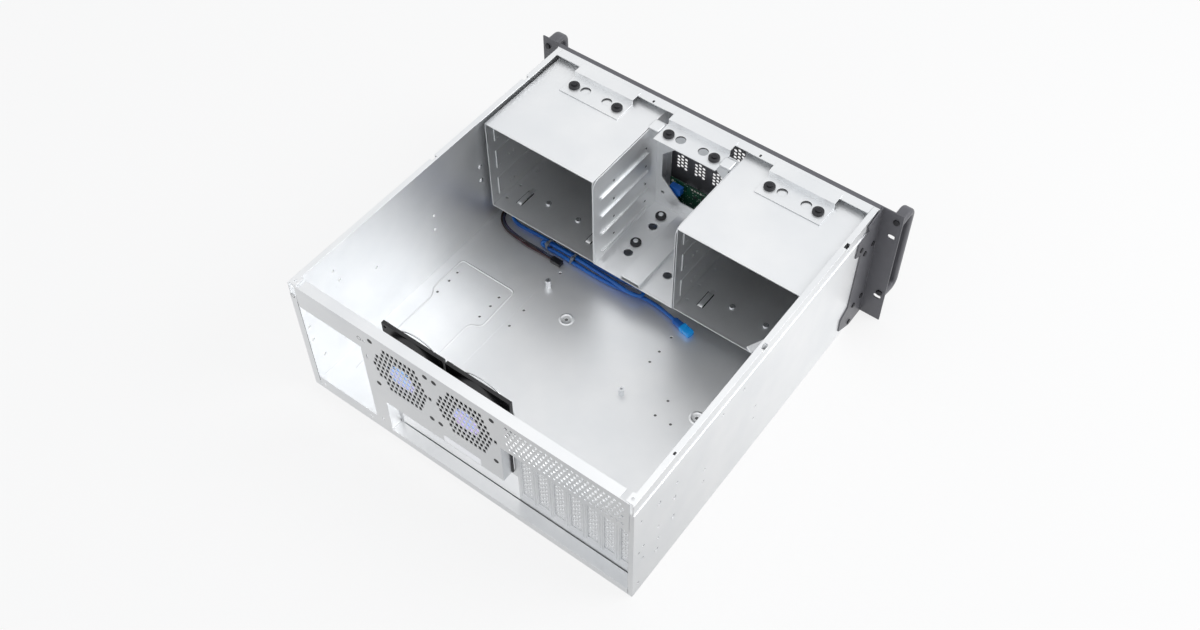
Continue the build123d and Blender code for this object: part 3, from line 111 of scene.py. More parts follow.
def new_piece(name, points, faces, materials):
    """A smooth mesh piece from an array of points in metres and a list of faces, riding on the case."""
    mesh = bpy.data.meshes.new(name)
    mesh.from_pydata(points.tolist(), [], faces)
    mesh.validate()
    mesh.polygons.foreach_set("use_smooth", np.full(len(mesh.polygons), True))
    for material in materials:
        mesh.materials.append(material)
    piece = bpy.data.objects.new(name, mesh)
    bpy.context.scene.collection.objects.link(piece)
    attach(piece, "case")
    return piece


def route_curve(name, points_mm, radius):
    """An open NURBS curve led by given control points, round in section unless the radius is zero."""
    curve = bpy.data.curves.new(name, "CURVE")
    curve.dimensions = "3D"
    curve.resolution_u = 12
    spline = curve.splines.new("NURBS")
    places = from_mm(points_mm)
    spline.points.add(len(places) - 1)
    spline.points.foreach_set("co", np.column_stack([places, np.ones(len(places))]).ravel())
    spline.order_u = 3
    spline.use_endpoint_u = True
    curve.bevel_depth = radius
    curve.bevel_resolution = 5
    curve.use_fill_caps = True
    line = bpy.data.objects.new(name, curve)
    bpy.context.scene.collection.objects.link(line)
    return line


# Soft PVC sheath, extruded: a saturated blue with a satin sheen and a faint waviness, in waves of 2 mm, from
# the strands inside. The tint drifts over 17 mm.
cable_pvc, tree, shader, place = new_material("cable_pvc_extruded")
drift = add(tree, "ShaderNodeTexNoise", {"Vector": place, "Scale": 60.0, "Detail": 2.0})
tint = add(tree, "ShaderNodeValToRGB", {"Fac": drift.outputs["Fac"]})
tint.color_ramp.elements[0].color = linear("#0a50b4")
tint.color_ramp.elements[1].color = linear("#237fdc")
ripple = add(tree, "ShaderNodeTexNoise", {"Vector": place, "Scale": 450.0, "Detail": 1.0})
bump = add(tree, "ShaderNodeBump", {"Height": ripple.outputs["Fac"], "Strength": 0.12, "Distance": 0.0004})
tree.links.new(tint.outputs["Color"], shader.inputs["Base Color"])
tree.links.new(bump.outputs["Normal"], shader.inputs["Normal"])
shader.inputs["Roughness"].default_value = 0.34
shader.inputs["IOR"].default_value = 1.53

cable_down = [(29.0, -424.2, 61.0), (29.0, -424.2, 45.0), (29.6, -423.4, 26.5), (38.0, -420.5, 9.5),
              (58.0, -416.0, 3.8), (84.0, -409.0, 3.6), (120.0, -395.0, 3.6), (154.0, -376.0, 3.6),
              (182.0, -353.0, 3.6), (197.0, -336.0, 3.6), (198.0, -321.0, 3.6), (187.0, -310.5, 3.6),
              (168.0, -309.6, 4.0), (152.0, -310.6, 4.4), (138.0, -310.6, 4.4)]
first_pass = [(127.0, -310.4, 4.6), (110.0, -310.8, 4.6), (91.0, -310.6, 4.6), (66.0, -312.4, 4.6),
              (40.0, -313.6, 4.8), (18.0, -313.9, 5.8), (3.0, -313.6, 8.6)]
right_fold = [(-5.2, -311.4, 10.6), (-7.6, -306.6, 11.1), (-4.6, -301.6, 11.1), (6.0, -299.6, 11.0)]
second_pass = [(22.0, -301.0, 10.9), (46.0, -303.0, 10.5), (70.0, -304.8, 9.6), (91.0, -305.8, 8.9),
               (110.0, -305.8, 9.2), (124.0, -305.4, 9.2)]
left_fold = [(133.6, -304.6, 9.2), (137.2, -302.6, 7.6), (136.4, -300.8, 5.4), (129.0, -300.9, 4.4)]
third_pass = [(110.0, -301.4, 4.4), (91.0, -301.2, 4.4), (66.0, -300.0, 4.4), (42.0, -300.6, 4.3),
              (22.0, -302.4, 4.3), (6.0, -305.2, 4.3)]
tail = [(-8.0, -307.8, 4.4), (-22.0, -308.0, 4.4), (-38.0, -306.0, 4.8), (-54.0, -302.5, 4.8)]
blue_route = cable_down + first_pass + right_fold + second_pass + left_fold + third_pass + tail
cable_radius = 0.0022
blue_cable = route_curve("blue_port_cable", blue_route, cable_radius)
blue_cable.data.materials.append(cable_pvc)
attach(blue_cable, "case")
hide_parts("port_cable", "port_hank", "port_tail")


# Connectors of the cable: at its end a blue PVC boot with grip rings, moulded over a bright blue snap-in
# housing of ABS, and at the port board a plug of the boot's PVC, pushed onto its header.
def grid_faces(rows, columns, rows_close=False, columns_close=True, flip=False):
    """Four-sided faces of a grid of points, row after row; a closed direction joins its end to its start."""
    i, j = np.meshgrid(np.arange(rows if rows_close else rows - 1),
                       np.arange(columns if columns_close else columns - 1), indexing="ij")
    n, k = (i + 1) % rows, (j + 1) % columns
    corners = [i * columns + j, i * columns + k, n * columns + k, n * columns + j]
    if flip:
        corners = corners[:1] + corners[:0:-1]
    return np.stack(corners, -1).reshape(-1, 4).tolist()


def rounded_sections(stations, half_widths, half_heights, power, around=32):
    """Superellipse sections |u/a|^p + |v/b|^p = 1 set one behind another along X, closed at both ends."""
    turn = np.linspace(0, 2 * np.pi, around, endpoint=False)
    c, s = np.cos(turn), np.sin(turn)
    u = np.sign(c) * np.abs(c) ** (2 / power)
    v = np.sign(s) * np.abs(s) ** (2 / power)
    x = np.repeat(np.asarray(stations, float)[:, None], around, 1)
    y = np.asarray(half_widths, float)[:, None] * u
    z = np.asarray(half_heights, float)[:, None] * v
    points = np.stack([x, y, z], -1).reshape(-1, 3)
    count = len(stations)
    ends = [list(range(around))[::-1], list(range((count - 1) * around, count * around))]
    return points, grid_faces(count, around) + ends


def joined(parts):
    """Several pairs of points and faces as one pair."""
    points, faces, start = [], [], 0
    for some_points, some_faces in parts:
        points.append(some_points)
        faces += [[v + start for v in f] for f in some_faces]
        start += len(some_points)
    return np.vstack(points), faces


def set_along(points, start_mm, towards):
    """Points given along X are turned about Z to face a direction and moved to their start."""
    angle = math.atan2(towards[1], towards[0])
    c, s = math.cos(angle), math.sin(angle)
    turn = np.array([[c, s, 0], [-s, c, 0], [0, 0, 1]])
    return from_mm(points @ turn + np.asarray(start_mm, float))


def dress(material, *names):
    """CAD pieces keep their shape and take a material."""
    for name in names:
        nodes[name].data.materials.clear()
        nodes[name].data.materials.append(material)


# Moulded PVC: a mid blue with a dull sheen and a faint grit of 0.4 mm.
boot_pvc, tree, shader, place = new_material("boot_pvc_moulded")
shader.inputs["Base Color"].default_value = linear("#1c66c4")
shader.inputs["Roughness"].default_value = 0.42
speck = add(tree, "ShaderNodeTexNoise", {"Vector": place, "Scale": 2500.0, "Detail": 2.0})
bump = add(tree, "ShaderNodeBump", {"Height": speck.outputs["Fac"], "Strength": 0.15, "Distance": 0.0002})
tree.links.new(bump.outputs["Normal"], shader.inputs["Normal"])
dress(boot_pvc, "port_plug")

# Moulded ABS: a bright, slightly clear blue with a gloss, whose tint drifts over 8 mm.
housing_abs, tree, shader, place = new_material("housing_abs_moulded")
shader.inputs["Roughness"].default_value = 0.26
fade = add(tree, "ShaderNodeTexNoise", {"Vector": place, "Scale": 120.0})
tint = add(tree, "ShaderNodeValToRGB", {"Fac": fade.outputs["Fac"]})
tint.color_ramp.elements[0].color = linear("#109cf8")
tint.color_ramp.elements[1].color = linear("#30b8ff")
tree.links.new(tint.outputs["Color"], shader.inputs["Base Color"])
# Painted light: a faint glow in its own tint makes the housing brighter than the lamps alone would.
tree.links.new(tint.outputs["Color"], shader.inputs["Emission Color"])
shader.inputs["Emission Strength"].default_value = 0.08
shader.inputs["Transmission Weight"].default_value = 0.15

plug_start = (-54.0, -302.5, 4.8)
plug_direction = (-16.0, 3.5)
boot_stations = np.array([0, 0.3, 1.6, 3.0, 4.2, 5.4, 6.6, 7.8, 9.0, 10.4, 12.6, 13.7, 14.0])
boot_widths = np.array([2.5, 3.0, 3.9, 4.3, 3.9, 4.4, 4.0, 4.5, 4.1, 4.5, 4.5, 4.4, 4.2])
boot_heights = np.array([2.3, 2.6, 2.9, 3.1, 2.8, 3.1, 2.8, 3.1, 2.8, 3.1, 3.1, 3.0, 2.8])
boot = rounded_sections(boot_stations, boot_widths, boot_heights, power=3.0)
shell_stations = np.array([13.0, 13.2, 13.9, 18.1, 18.5, 19.2, 19.6, 27.2, 28.4, 28.9, 29.0])
shell_widths = np.array([4.4, 4.8, 5.1, 5.1, 4.5, 4.5, 4.9, 4.9, 4.6, 4.2, 3.8])
shell_heights = np.array([2.8, 3.1, 3.4, 3.45, 3.0, 3.0, 3.3, 3.3, 3.0, 2.7, 2.4])
shell = rounded_sections(shell_stations, shell_widths, shell_heights, power=7.0, around=40)
points, faces = joined([boot, shell])
far_plug = new_piece("far_connector", set_along(points, plug_start, plug_direction), faces,
                     [boot_pvc, housing_abs])
part_of_face = np.repeat([0, 1], [len(boot[1]), len(shell[1])])
far_plug.data.polygons.foreach_set("material_index", part_of_face.astype(np.int32))
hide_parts("far_plug")


# Nylon ties round the hank: a thin ribbed band, moulded with a square head and pulled through it, with its
# tail laid over the top and cut off. The nylon is milky and lets some light through; its ribs are 1.7 mm
# apart.
tie_nylon, tree, shader, place = new_material("tie_nylon_moulded")
shader.inputs["Base Color"].default_value = linear("#9aa3b0")
shader.inputs["Roughness"].default_value = 0.3
shader.inputs["Transmission Weight"].default_value = 0.45
shader.inputs["IOR"].default_value = 1.53
ribs = add(tree, "ShaderNodeTexWave", {"Vector": place, "Scale": 180.0}, bands_direction="Y")
bump = add(tree, "ShaderNodeBump", {"Height": ribs.outputs["Fac"], "Strength": 0.4, "Distance": 0.0002})
tree.links.new(bump.outputs["Normal"], shader.inputs["Normal"])


def band_round(x, width, centre, half_y, half_z, thickness, lean, steps=48):
    """A flat band carried once round a superellipse in the plane across X; lean shifts its top along X."""
    turn = np.linspace(0, 2 * np.pi, steps, endpoint=False)
    c, s = np.cos(turn), np.sin(turn)
    u, v = np.sign(c) * np.abs(c) ** 0.7, np.sign(s) * np.abs(s) ** 0.7
    rings = []
    for out, along in ((0, -1), (thickness, -1), (thickness, 1), (0, 1)):
        rings.append(np.stack([x + along * width / 2 + lean * v, centre[0] + (half_y + out) * u,
                               centre[1] + (half_z + out) * v], -1))
    points = np.stack(rings, 1).reshape(-1, 3)
    return points, grid_faces(steps, 4, rows_close=True, flip=True)


band_width, band_thickness = 2.6, 0.9
hank_centre = (-305.9, 6.9)
hank_half_depth, hank_half_height = 7.4, 4.9
head_y, strip_y, head_z = -301.2, -298.9, 11.6
for number, (x, lean) in enumerate(((127.8, 0.8), (91.8, -1.0)), 1):
    band = band_round(x, band_width, hank_centre, hank_half_depth, hank_half_height, band_thickness, lean)
    head, head_faces = rounded_sections([-2.4, -2.2, 2.2, 2.4], [1.9, 2.3, 2.3, 1.9], [1.3, 1.7, 1.7, 1.3],
                                        power=8.0, around=20)
    head = head[:, [1, 0, 2]] * [1, -1, 1] + [x + lean, head_y, head_z]
    strip, strip_faces = rounded_sections([0.0, 7.5, 16.25, 17.5], [1.2] * 4, [0.45] * 4,
                                          power=8.0, around=12)
    strip = strip[:, [1, 0, 2]] * [1, -1, 1] + [x + lean, strip_y, head_z]
    points, faces = joined([band, (head, head_faces), (strip, strip_faces)])
    new_piece(f"cable_tie_{number}", from_mm(points), faces, [tie_nylon])
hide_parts("cable_ties")


# Leads of the buttons and lights: six thin stranded leads with extruded PVC insulation, 1.7 mm thick, laid as
# a loose bundle. They go the cable's way under the cage, further out, and end in a black crimp housing.
lead_route = [(-21.0, -424.5, 44.0), (-21.0, -424.5, 31.0), (-19.0, -424.6, 18.0), (-11.0, -425.4, 8.0),
              (3.0, -427.0, 4.4), (24.0, -430.2, 4.2), (50.0, -431.2, 4.2), (80.0, -427.5, 4.2),
              (115.0, -416.0, 4.2), (150.0, -397.5, 4.2), (182.0, -374.0, 4.2), (203.0, -350.0, 4.2),
              (208.5, -328.0, 4.2), (205.0, -308.0, 4.2), (190.0, -296.5, 4.2), (168.0, -293.0, 4.2),
              (147.0, -291.8, 4.2), (130.0, -292.4, 4.2), (114.0, -292.4, 4.2)]


def strands_along(line, count, strand_radius, ring_radius, pitch, step=0.0022, around=8):
    """Thin tubes laid round a line: tube k stands off it by the ring's radius, at the angle 2 pi k / count
    plus 0.7 sin(2 pi s / pitch + k), where s is the length along the line."""
    along = np.r_[0, np.cumsum(np.linalg.norm(np.diff(line, axis=0), axis=1))]
    even = np.linspace(0, along[-1], int(along[-1] / step))
    centre = np.stack([np.interp(even, along, line[:, a]) for a in range(3)], -1)
    tangent = np.gradient(centre, axis=0)
    tangent /= np.linalg.norm(tangent, axis=1)[:, None]
    slant = [0.31, 0.2, 0.93]
    across = np.cross(tangent, slant)
    across /= np.linalg.norm(across, axis=1)[:, None]
    over = np.cross(tangent, across)
    tubes = []
    ends = [list(range(around))[::-1], list(range((len(even) - 1) * around, len(even) * around))]
    ring = np.linspace(0, 2 * np.pi, around, endpoint=False)
    for k in range(count):
        phase = 2 * np.pi * k / count + 0.7 * np.sin(2 * np.pi * even / pitch + k)
        middle = centre + ring_radius * (np.cos(phase)[:, None] * across + np.sin(phase)[:, None] * over)
        tube = middle[:, None] + strand_radius * (np.cos(ring)[None, :, None] * across[:, None]
                                                  + np.sin(ring)[None, :, None] * over[:, None])
        tubes.append((tube.reshape(-1, 3), grid_faces(len(even), around) + ends))
    return *joined(tubes), centre


guide = route_curve("lead_guide", lead_route, 0.0)
bpy.context.view_layer.update()
guide_mesh = bpy.data.meshes.new_from_object(guide.evaluated_get(bpy.context.evaluated_depsgraph_get()))
guide_line = np.zeros(len(guide_mesh.vertices) * 3)
guide_mesh.vertices.foreach_get("co", guide_line)
guide_line = guide_line.reshape(-1, 3)
bpy.data.objects.remove(guide)

# Extruded PVC, one colour to a lead, all dark, with a satin sheen and waves of 1 mm.
lead_materials = []
for name, colour in (("maroon", "#4a1f2a"), ("black", "#1b1b20"), ("navy", "#23305e"), ("violet", "#43365c"),
                     ("slate", "#3a4250"), ("brown", "#3d2a26")):
    insulation, tree, shader, place = new_material(f"lead_pvc_{name}")
    shader.inputs["Base Color"].default_value = linear(colour)
    shader.inputs["Roughness"].default_value = 0.38
    ripple = add(tree, "ShaderNodeTexNoise", {"Vector": place, "Scale": 900.0})
    bump = add(tree, "ShaderNodeBump", {"Height": ripple.outputs["Fac"], "Strength": 0.1, "Distance": 0.0002})
    tree.links.new(bump.outputs["Normal"], shader.inputs["Normal"])
    lead_materials.append(insulation)

lead_count = len(lead_materials)
lead_points, lead_faces, lead_line = strands_along(guide_line, lead_count, strand_radius=0.00085,
                                                   ring_radius=0.00195, pitch=0.075)
leads = new_piece("button_leads", lead_points, lead_faces, lead_materials)
lead_of_face = np.repeat(np.arange(lead_count), len(lead_faces) // lead_count)
leads.data.polygons.foreach_set("material_index", lead_of_face.astype(np.int32))
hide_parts("lead_bundle")


# Table and room: white paper board in a white room, both plain white to the camera. In reflections the
# table's glow is painted darker behind the case, so that upright rear faces come out grey. Under the case the
# glow is cut off, a painted shadow that the holes in the floor show.
def white_surround(tree, reflected, lit):
    """One shader for reflections and another for soft light, mixed; also gives the kinds of ray."""
    rays = add(tree, "ShaderNodeLightPath").outputs
    second = add(tree, "ShaderNodeMixShader",
                 {0: rays["Is Glossy Ray"], 1: lit.outputs[0], 2: reflected.outputs[0]})
    return rays, second


# Paper board: white, dull and fibrous, so fine that it shows no pattern here.
table_paper, tree, shader, place = new_material("table_paper")
shader.inputs["Base Color"].default_value = (0.86, 0.86, 0.86, 1)
shader.inputs["Roughness"].default_value = 0.9
# Painted shade: the glow that reflections see is dimmed near a place behind the case.
dim_place = (-0.12, 0.62, 0.0)
from_dim = add(tree, "ShaderNodeVectorMath", {0: place, 1: dim_place}, operation="DISTANCE")
shade = add(tree, "ShaderNodeMapRange",
            {"Value": from_dim.outputs["Value"], 1: 0.1, 2: 0.75, 3: 0.36, 4: 1.0})
mirror_glow = add(tree, "ShaderNodeEmission", {"Color": (1, 1, 1, 1), "Strength": shade.outputs["Result"]})
rays, second = white_surround(tree, mirror_glow, shader)
floor_middle = (0.0, 0.018, 0.0)
shaded_half_x, shaded_half_y = 0.205, 0.210
# Painted shadow: in a box under the case, the glow that the camera sees is cut off.
under = add(tree, "ShaderNodeVectorMath", {0: place, 1: floor_middle}, operation="SUBTRACT")
under = add(tree, "ShaderNodeVectorMath", {0: under.outputs[0]}, operation="ABSOLUTE")
under = add(tree, "ShaderNodeSeparateXYZ", {0: under.outputs[0]})
beside_x = add(tree, "ShaderNodeMath", {0: under.outputs["X"], 1: shaded_half_x}, operation="GREATER_THAN")
beside_y = add(tree, "ShaderNodeMath", {0: under.outputs["Y"], 1: shaded_half_y}, operation="GREATER_THAN")
beside = add(tree, "ShaderNodeMath", {0: beside_x.outputs[0], 1: beside_y.outputs[0]}, operation="MAXIMUM")
glow = add(tree, "ShaderNodeEmission", {"Color": (1, 1, 1, 1), "Strength": beside.outputs[0]})
seen = add(tree, "ShaderNodeMath", {0: rays["Is Camera Ray"], 1: 0.8}, operation="MULTIPLY")
shown = add(tree, "ShaderNodeMixShader", {0: seen.outputs[0], 1: second.outputs[0], 2: glow.outputs[0]})
surface = next(n for n in tree.nodes if n.type == "OUTPUT_MATERIAL").inputs["Surface"]
tree.links.new(shown.outputs[0], surface)
half = 4.0
table_corners = [(-half, -half, 0), (half, -half, 0), (half, half, 0), (-half, half, 0)]
table_mesh = bpy.data.meshes.new("table")
table_mesh.from_pydata(table_corners, [], [(0, 1, 2, 3)])
table_mesh.materials.append(table_paper)
table = bpy.data.objects.new("table", table_mesh)
bpy.context.scene.collection.objects.link(table)

world = bpy.data.worlds.new("room")
bpy.context.scene.world = world
world.use_nodes = True
tree = world.node_tree
tree.nodes.clear()
upright = add(tree, "ShaderNodeSeparateXYZ", {0: add(tree, "ShaderNodeTexCoord").outputs["Generated"]})
ceiling = add(tree, "ShaderNodeMapRange",
              {"Value": upright.outputs["Z"], 1: 0.79, 2: 0.92, 3: 0.94, 4: 0.62})
mirror_room = add(tree, "ShaderNodeBackground", {"Color": (0.98, 0.985, 0.99, 1),
                                                 "Strength": ceiling.outputs["Result"]})
soft_room = add(tree, "ShaderNodeBackground", {"Color": (0.78, 0.79, 0.81, 1), "Strength": 0.8})
white = add(tree, "ShaderNodeBackground", {"Color": (1, 1, 1, 1), "Strength": 1.0})
rays, second = white_surround(tree, mirror_room, soft_room)
shown = add(tree, "ShaderNodeMixShader",
            {0: rays["Is Camera Ray"], 1: second.outputs[0], 2: white.outputs[0]})
add(tree, "ShaderNodeOutputWorld", {"Surface": shown.outputs[0]})


def area_lamp(name, place, target, size, power):
    """A soft square lamp that faces a point."""
    lamp = bpy.data.lights.new(name, "AREA")
    lamp.size = size
    lamp.energy = power
    holder = bpy.data.objects.new(name, lamp)
    bpy.context.scene.collection.objects.link(holder)
    back = np.array(place, float) - np.array(target, float)
    back /= np.linalg.norm(back)
    nearly_up = [0.0, 0.02, 1.0]
    right = np.cross(nearly_up, back)
    right /= np.linalg.norm(right)
    matrix = np.eye(4)
    matrix[:3, 0], matrix[:3, 1], matrix[:3, 2], matrix[:3, 3] = right, np.cross(back, right), back, place
    holder.matrix_world = Matrix(matrix.tolist())


area_lamp("lamp_above", (0.1, 0.0, 1.9), (0.0, 0.0, 0.1), size=1.4, power=4.0)
area_lamp("lamp_right", (-1.4, -0.8, 1.4), (0.1, 0.0, 0.1), size=1.2, power=15.0)


# Body, cages, bracket, hangers and slot covers: zinc coated steel sheet, punched and folded on a press, then
# riveted or screwed together. The coat is a satin, cool pale grey with a faint rolling grain, drawn in
# streaks 17 mm long and 0.4 mm wide, coarser than the real grain, so that it shows.
zinc_sheet, tree, shader, place = new_material("zinc_coated_steel_sheet")
cloud = add(tree, "ShaderNodeTexNoise", {"Vector": place, "Scale": 14.0, "Detail": 3.0})
grain_place = add(tree, "ShaderNodeMapping", {"Vector": place, "Scale": (60.0, 2600.0, 2600.0)}).outputs[0]
grain = add(tree, "ShaderNodeTexNoise", {"Vector": grain_place, "Scale": 1.0, "Detail": 3.0})
tint = add(tree, "ShaderNodeValToRGB", {"Fac": cloud.outputs["Fac"]})
tint.color_ramp.elements[0].position = 0.3
tint.color_ramp.elements[1].position = 0.7
tint.color_ramp.elements[0].color = linear("#eef0f2")
tint.color_ramp.elements[1].color = linear("#f6f7f8")
gloss = add(tree, "ShaderNodeMapRange", {"Value": grain.outputs["Fac"], 3: 0.36, 4: 0.46})
edge = add(tree, "ShaderNodeBevel", {"Radius": 0.0006}, samples=4)
bump = add(tree, "ShaderNodeBump", {"Height": grain.outputs["Fac"], "Normal": edge.outputs["Normal"],
                                    "Strength": 0.05, "Distance": 0.0002})
tree.links.new(tint.outputs["Color"], shader.inputs["Base Color"])
tree.links.new(gloss.outputs["Result"], shader.inputs["Roughness"])
tree.links.new(bump.outputs["Normal"], shader.inputs["Normal"])
shader.inputs["Metallic"].default_value = 0.82
dress(zinc_sheet, "chassis_tray", "rear_panel", "io_slot_plate", "front_panel", "drive_cage_left",
      "drive_cage_right", "centre_bracket", "fan_plate", "hanger_left", "hanger_centre", "hanger_right",
      *[f"slot_cover_{number}" for number in range(1, 8)])


# Bezel, rack ears and handles: steel sheet and round bar, bent to shape, with an anthracite powder coat that
# has a fine peel. The ears and the bow handles are screwed on. The peel is drawn 0.8 mm wide, coarser than
# the real one, so that it shows.
powder_coat, tree, shader, place = new_material("anthracite_powder_coat")
peel = add(tree, "ShaderNodeTexNoise", {"Vector": place, "Scale": 1300.0, "Detail": 2.0})
wear = add(tree, "ShaderNodeTexNoise", {"Vector": place, "Scale": 25.0, "Detail": 3.0})
tint = add(tree, "ShaderNodeValToRGB", {"Fac": wear.outputs["Fac"]})
tint.color_ramp.elements[0].color = linear("#5a5a5f")
tint.color_ramp.elements[1].color = linear("#66666b")
edge = add(tree, "ShaderNodeBevel", {"Radius": 0.0007}, samples=4)
bump = add(tree, "ShaderNodeBump", {"Height": peel.outputs["Fac"], "Normal": edge.outputs["Normal"],
                                    "Strength": 0.18, "Distance": 0.0002})
tree.links.new(tint.outputs["Color"], shader.inputs["Base Color"])
tree.links.new(bump.outputs["Normal"], shader.inputs["Normal"])
shader.inputs["Roughness"].default_value = 0.42
dress(powder_coat, "front_bezel", "ear_left", "ear_right", "handle_left", "handle_right")


# Latch strap in the right cage: a flat steel arm, tumbled and nickel plated to a soft white shine. One screw
# holds it to the cage's floor. The marks of the tumbling are 0.7 mm wide.
soft_nickel, tree, shader, place = new_material("soft_nickel_strap")
tumble = add(tree, "ShaderNodeTexNoise", {"Vector": place, "Scale": 1500.0, "Detail": 2.0})
bump = add(tree, "ShaderNodeBump", {"Height": tumble.outputs["Fac"], "Strength": 0.2, "Distance": 0.0002})
tree.links.new(bump.outputs["Normal"], shader.inputs["Normal"])
shader.inputs["Base Color"].default_value = linear("#f2f4f6")
# Painted light: a faint white glow makes the strap brighter than the lamps alone would.
shader.inputs["Emission Color"].default_value = linear("#f2f4f6")
shader.inputs["Emission Strength"].default_value = 0.3
shader.inputs["Metallic"].default_value = 0.35
shader.inputs["Roughness"].default_value = 0.5
dress(soft_nickel, "cage_strap")


# Drive-bay covers and buttons: ABS, injection moulded in black with a fine spark texture, drawn 0.5 mm wide
# so that it shows. The covers fill the front panel's bays, and the buttons slide in the bezel.
black_abs, tree, shader, place = new_material("black_abs_moulded")
texture = add(tree, "ShaderNodeTexNoise", {"Vector": place, "Scale": 1800.0, "Detail": 2.0})
tone = add(tree, "ShaderNodeTexNoise", {"Vector": place, "Scale": 30.0})
tint = add(tree, "ShaderNodeValToRGB", {"Fac": tone.outputs["Fac"]})
tint.color_ramp.elements[0].color = linear("#1c1c1e")
tint.color_ramp.elements[1].color = linear("#242427")
bump = add(tree, "ShaderNodeBump", {"Height": texture.outputs["Fac"], "Strength": 0.25, "Distance": 0.0002})
tree.links.new(tint.outputs["Color"], shader.inputs["Base Color"])
tree.links.new(bump.outputs["Normal"], shader.inputs["Normal"])
shader.inputs["Roughness"].default_value = 0.48
dress(black_abs, *[f"bay_cover_{name}_{number}" for name in ("left", "right") for number in (1, 2, 3)],
      "power_button", "reset_button")


# Fans: frame and rotor, moulded in black glass-filled polyester with a satin, slightly greyish skin that is
# mottled over 1 mm. Screws hold each frame to the rear panel. The leads' crimp housing is of a like plastic.
fan_plastic, tree, shader, place = new_material("fan_polyester_moulded")
fibre = add(tree, "ShaderNodeTexNoise", {"Vector": place, "Scale": 900.0, "Detail": 3.0})
tint = add(tree, "ShaderNodeValToRGB", {"Fac": fibre.outputs["Fac"]})
tint.color_ramp.elements[0].color = linear("#141416")
tint.color_ramp.elements[1].color = linear("#202023")
bump = add(tree, "ShaderNodeBump", {"Height": fibre.outputs["Fac"], "Strength": 0.1, "Distance": 0.0002})
tree.links.new(tint.outputs["Color"], shader.inputs["Base Color"])
tree.links.new(bump.outputs["Normal"], shader.inputs["Normal"])
shader.inputs["Roughness"].default_value = 0.36
dress(fan_plastic, "fan_frame_1", "fan_frame_2", "fan_rotor_1", "fan_rotor_2", "lead_plug")


# Fan labels: a round foil sticker on each fan's motor holder, pale blue with a shift to lilac over 20 mm. It
# is left without lettering.
label_foil, tree, shader, place = new_material("fan_label_foil")
shift = add(tree, "ShaderNodeTexNoise", {"Vector": place, "Scale": 45.0, "Detail": 1.0})
tint = add(tree, "ShaderNodeValToRGB", {"Fac": shift.outputs["Fac"]})
tint.color_ramp.elements[0].position = 0.35
tint.color_ramp.elements[1].position = 0.65
tint.color_ramp.elements[0].color = linear("#a6d2ff")
tint.color_ramp.elements[1].color = linear("#dcc6f2")
tree.links.new(tint.outputs["Color"], shader.inputs["Base Color"])
# Painted light: the foil glows faintly in its tint, so that it shows through the shaded grille.
tree.links.new(tint.outputs["Color"], shader.inputs["Emission Color"])
shader.inputs["Emission Strength"].default_value = 0.4
shader.inputs["Roughness"].default_value = 0.3
fan_places, fan_height = (68.7, -14.2), 129.0
label_radii, holder_face = [15.6, 16.0, 16.0, 15.8], -1.6
for number, x in enumerate(fan_places, 1):
    label, label_faces = rounded_sections([0.0, 0.06, 0.12, 0.14], label_radii, label_radii,
                                          power=2.0, around=64)
    label = label[:, [1, 0, 2]] * [-1, 1, 1] + [x, holder_face, fan_height]
    new_piece(f"fan_label_{number}", from_mm(label), label_faces, [label_foil])


# Bright small parts, such as standoffs, pins, port shells and the screws inside the case: turned, headed or
# folded steel, nickel plated, with a clean cool shine that varies over 1.4 mm.
nickel_plate, tree, shader, place = new_material("nickel_plated_steel")
rub = add(tree, "ShaderNodeTexNoise", {"Vector": place, "Scale": 700.0, "Detail": 2.0})
gloss = add(tree, "ShaderNodeMapRange", {"Value": rub.outputs["Fac"], 3: 0.16, 4: 0.32})
tree.links.new(gloss.outputs["Result"], shader.inputs["Roughness"])
shader.inputs["Base Color"].default_value = linear("#eceef1")
shader.inputs["Metallic"].default_value = 0.9
dress(nickel_plate, "standoffs", "slot_cover_screws", "cage_screws", "strap_screw", "bracket_pins",
      "front_port_sockets")

# The screws of the ears, handles, fans and hangers are blackened steel, with a dull shine, uneven over 2 mm.
black_oxide, tree, shader, place = new_material("black_oxide_steel")
rub = add(tree, "ShaderNodeTexNoise", {"Vector": place, "Scale": 500.0, "Detail": 2.0})
gloss = add(tree, "ShaderNodeMapRange", {"Value": rub.outputs["Fac"], 3: 0.3, 4: 0.5})
tree.links.new(gloss.outputs["Result"], shader.inputs["Roughness"])
shader.inputs["Base Color"].default_value = linear("#39393c")
shader.inputs["Metallic"].default_value = 0.8
dress(black_oxide, "ear_screws", "handle_screws", "fan_screws", "hanger_screws")


# Grommets: black rubber, compression moulded, dull with a faint bloom in patches of 3 mm. They are pressed
# into holes of the hangers and of the centre bracket.
# This material also paints shade: the dark crescents in the entry holes, the notch patches and the strip in
# the gap by the fan panel.
rubber_and_shade, tree, shader, place = new_material("black_rubber_and_painted_shade")
bloom = add(tree, "ShaderNodeTexNoise", {"Vector": place, "Scale": 350.0, "Detail": 3.0})
tint = add(tree, "ShaderNodeValToRGB", {"Fac": bloom.outputs["Fac"]})
tint.color_ramp.elements[0].color = linear("#232326")
tint.color_ramp.elements[1].color = linear("#303034")
tree.links.new(tint.outputs["Color"], shader.inputs["Base Color"])
shader.inputs["Roughness"].default_value = 0.55
dress(rubber_and_shade, "hanger_grommets", "bracket_grommets")


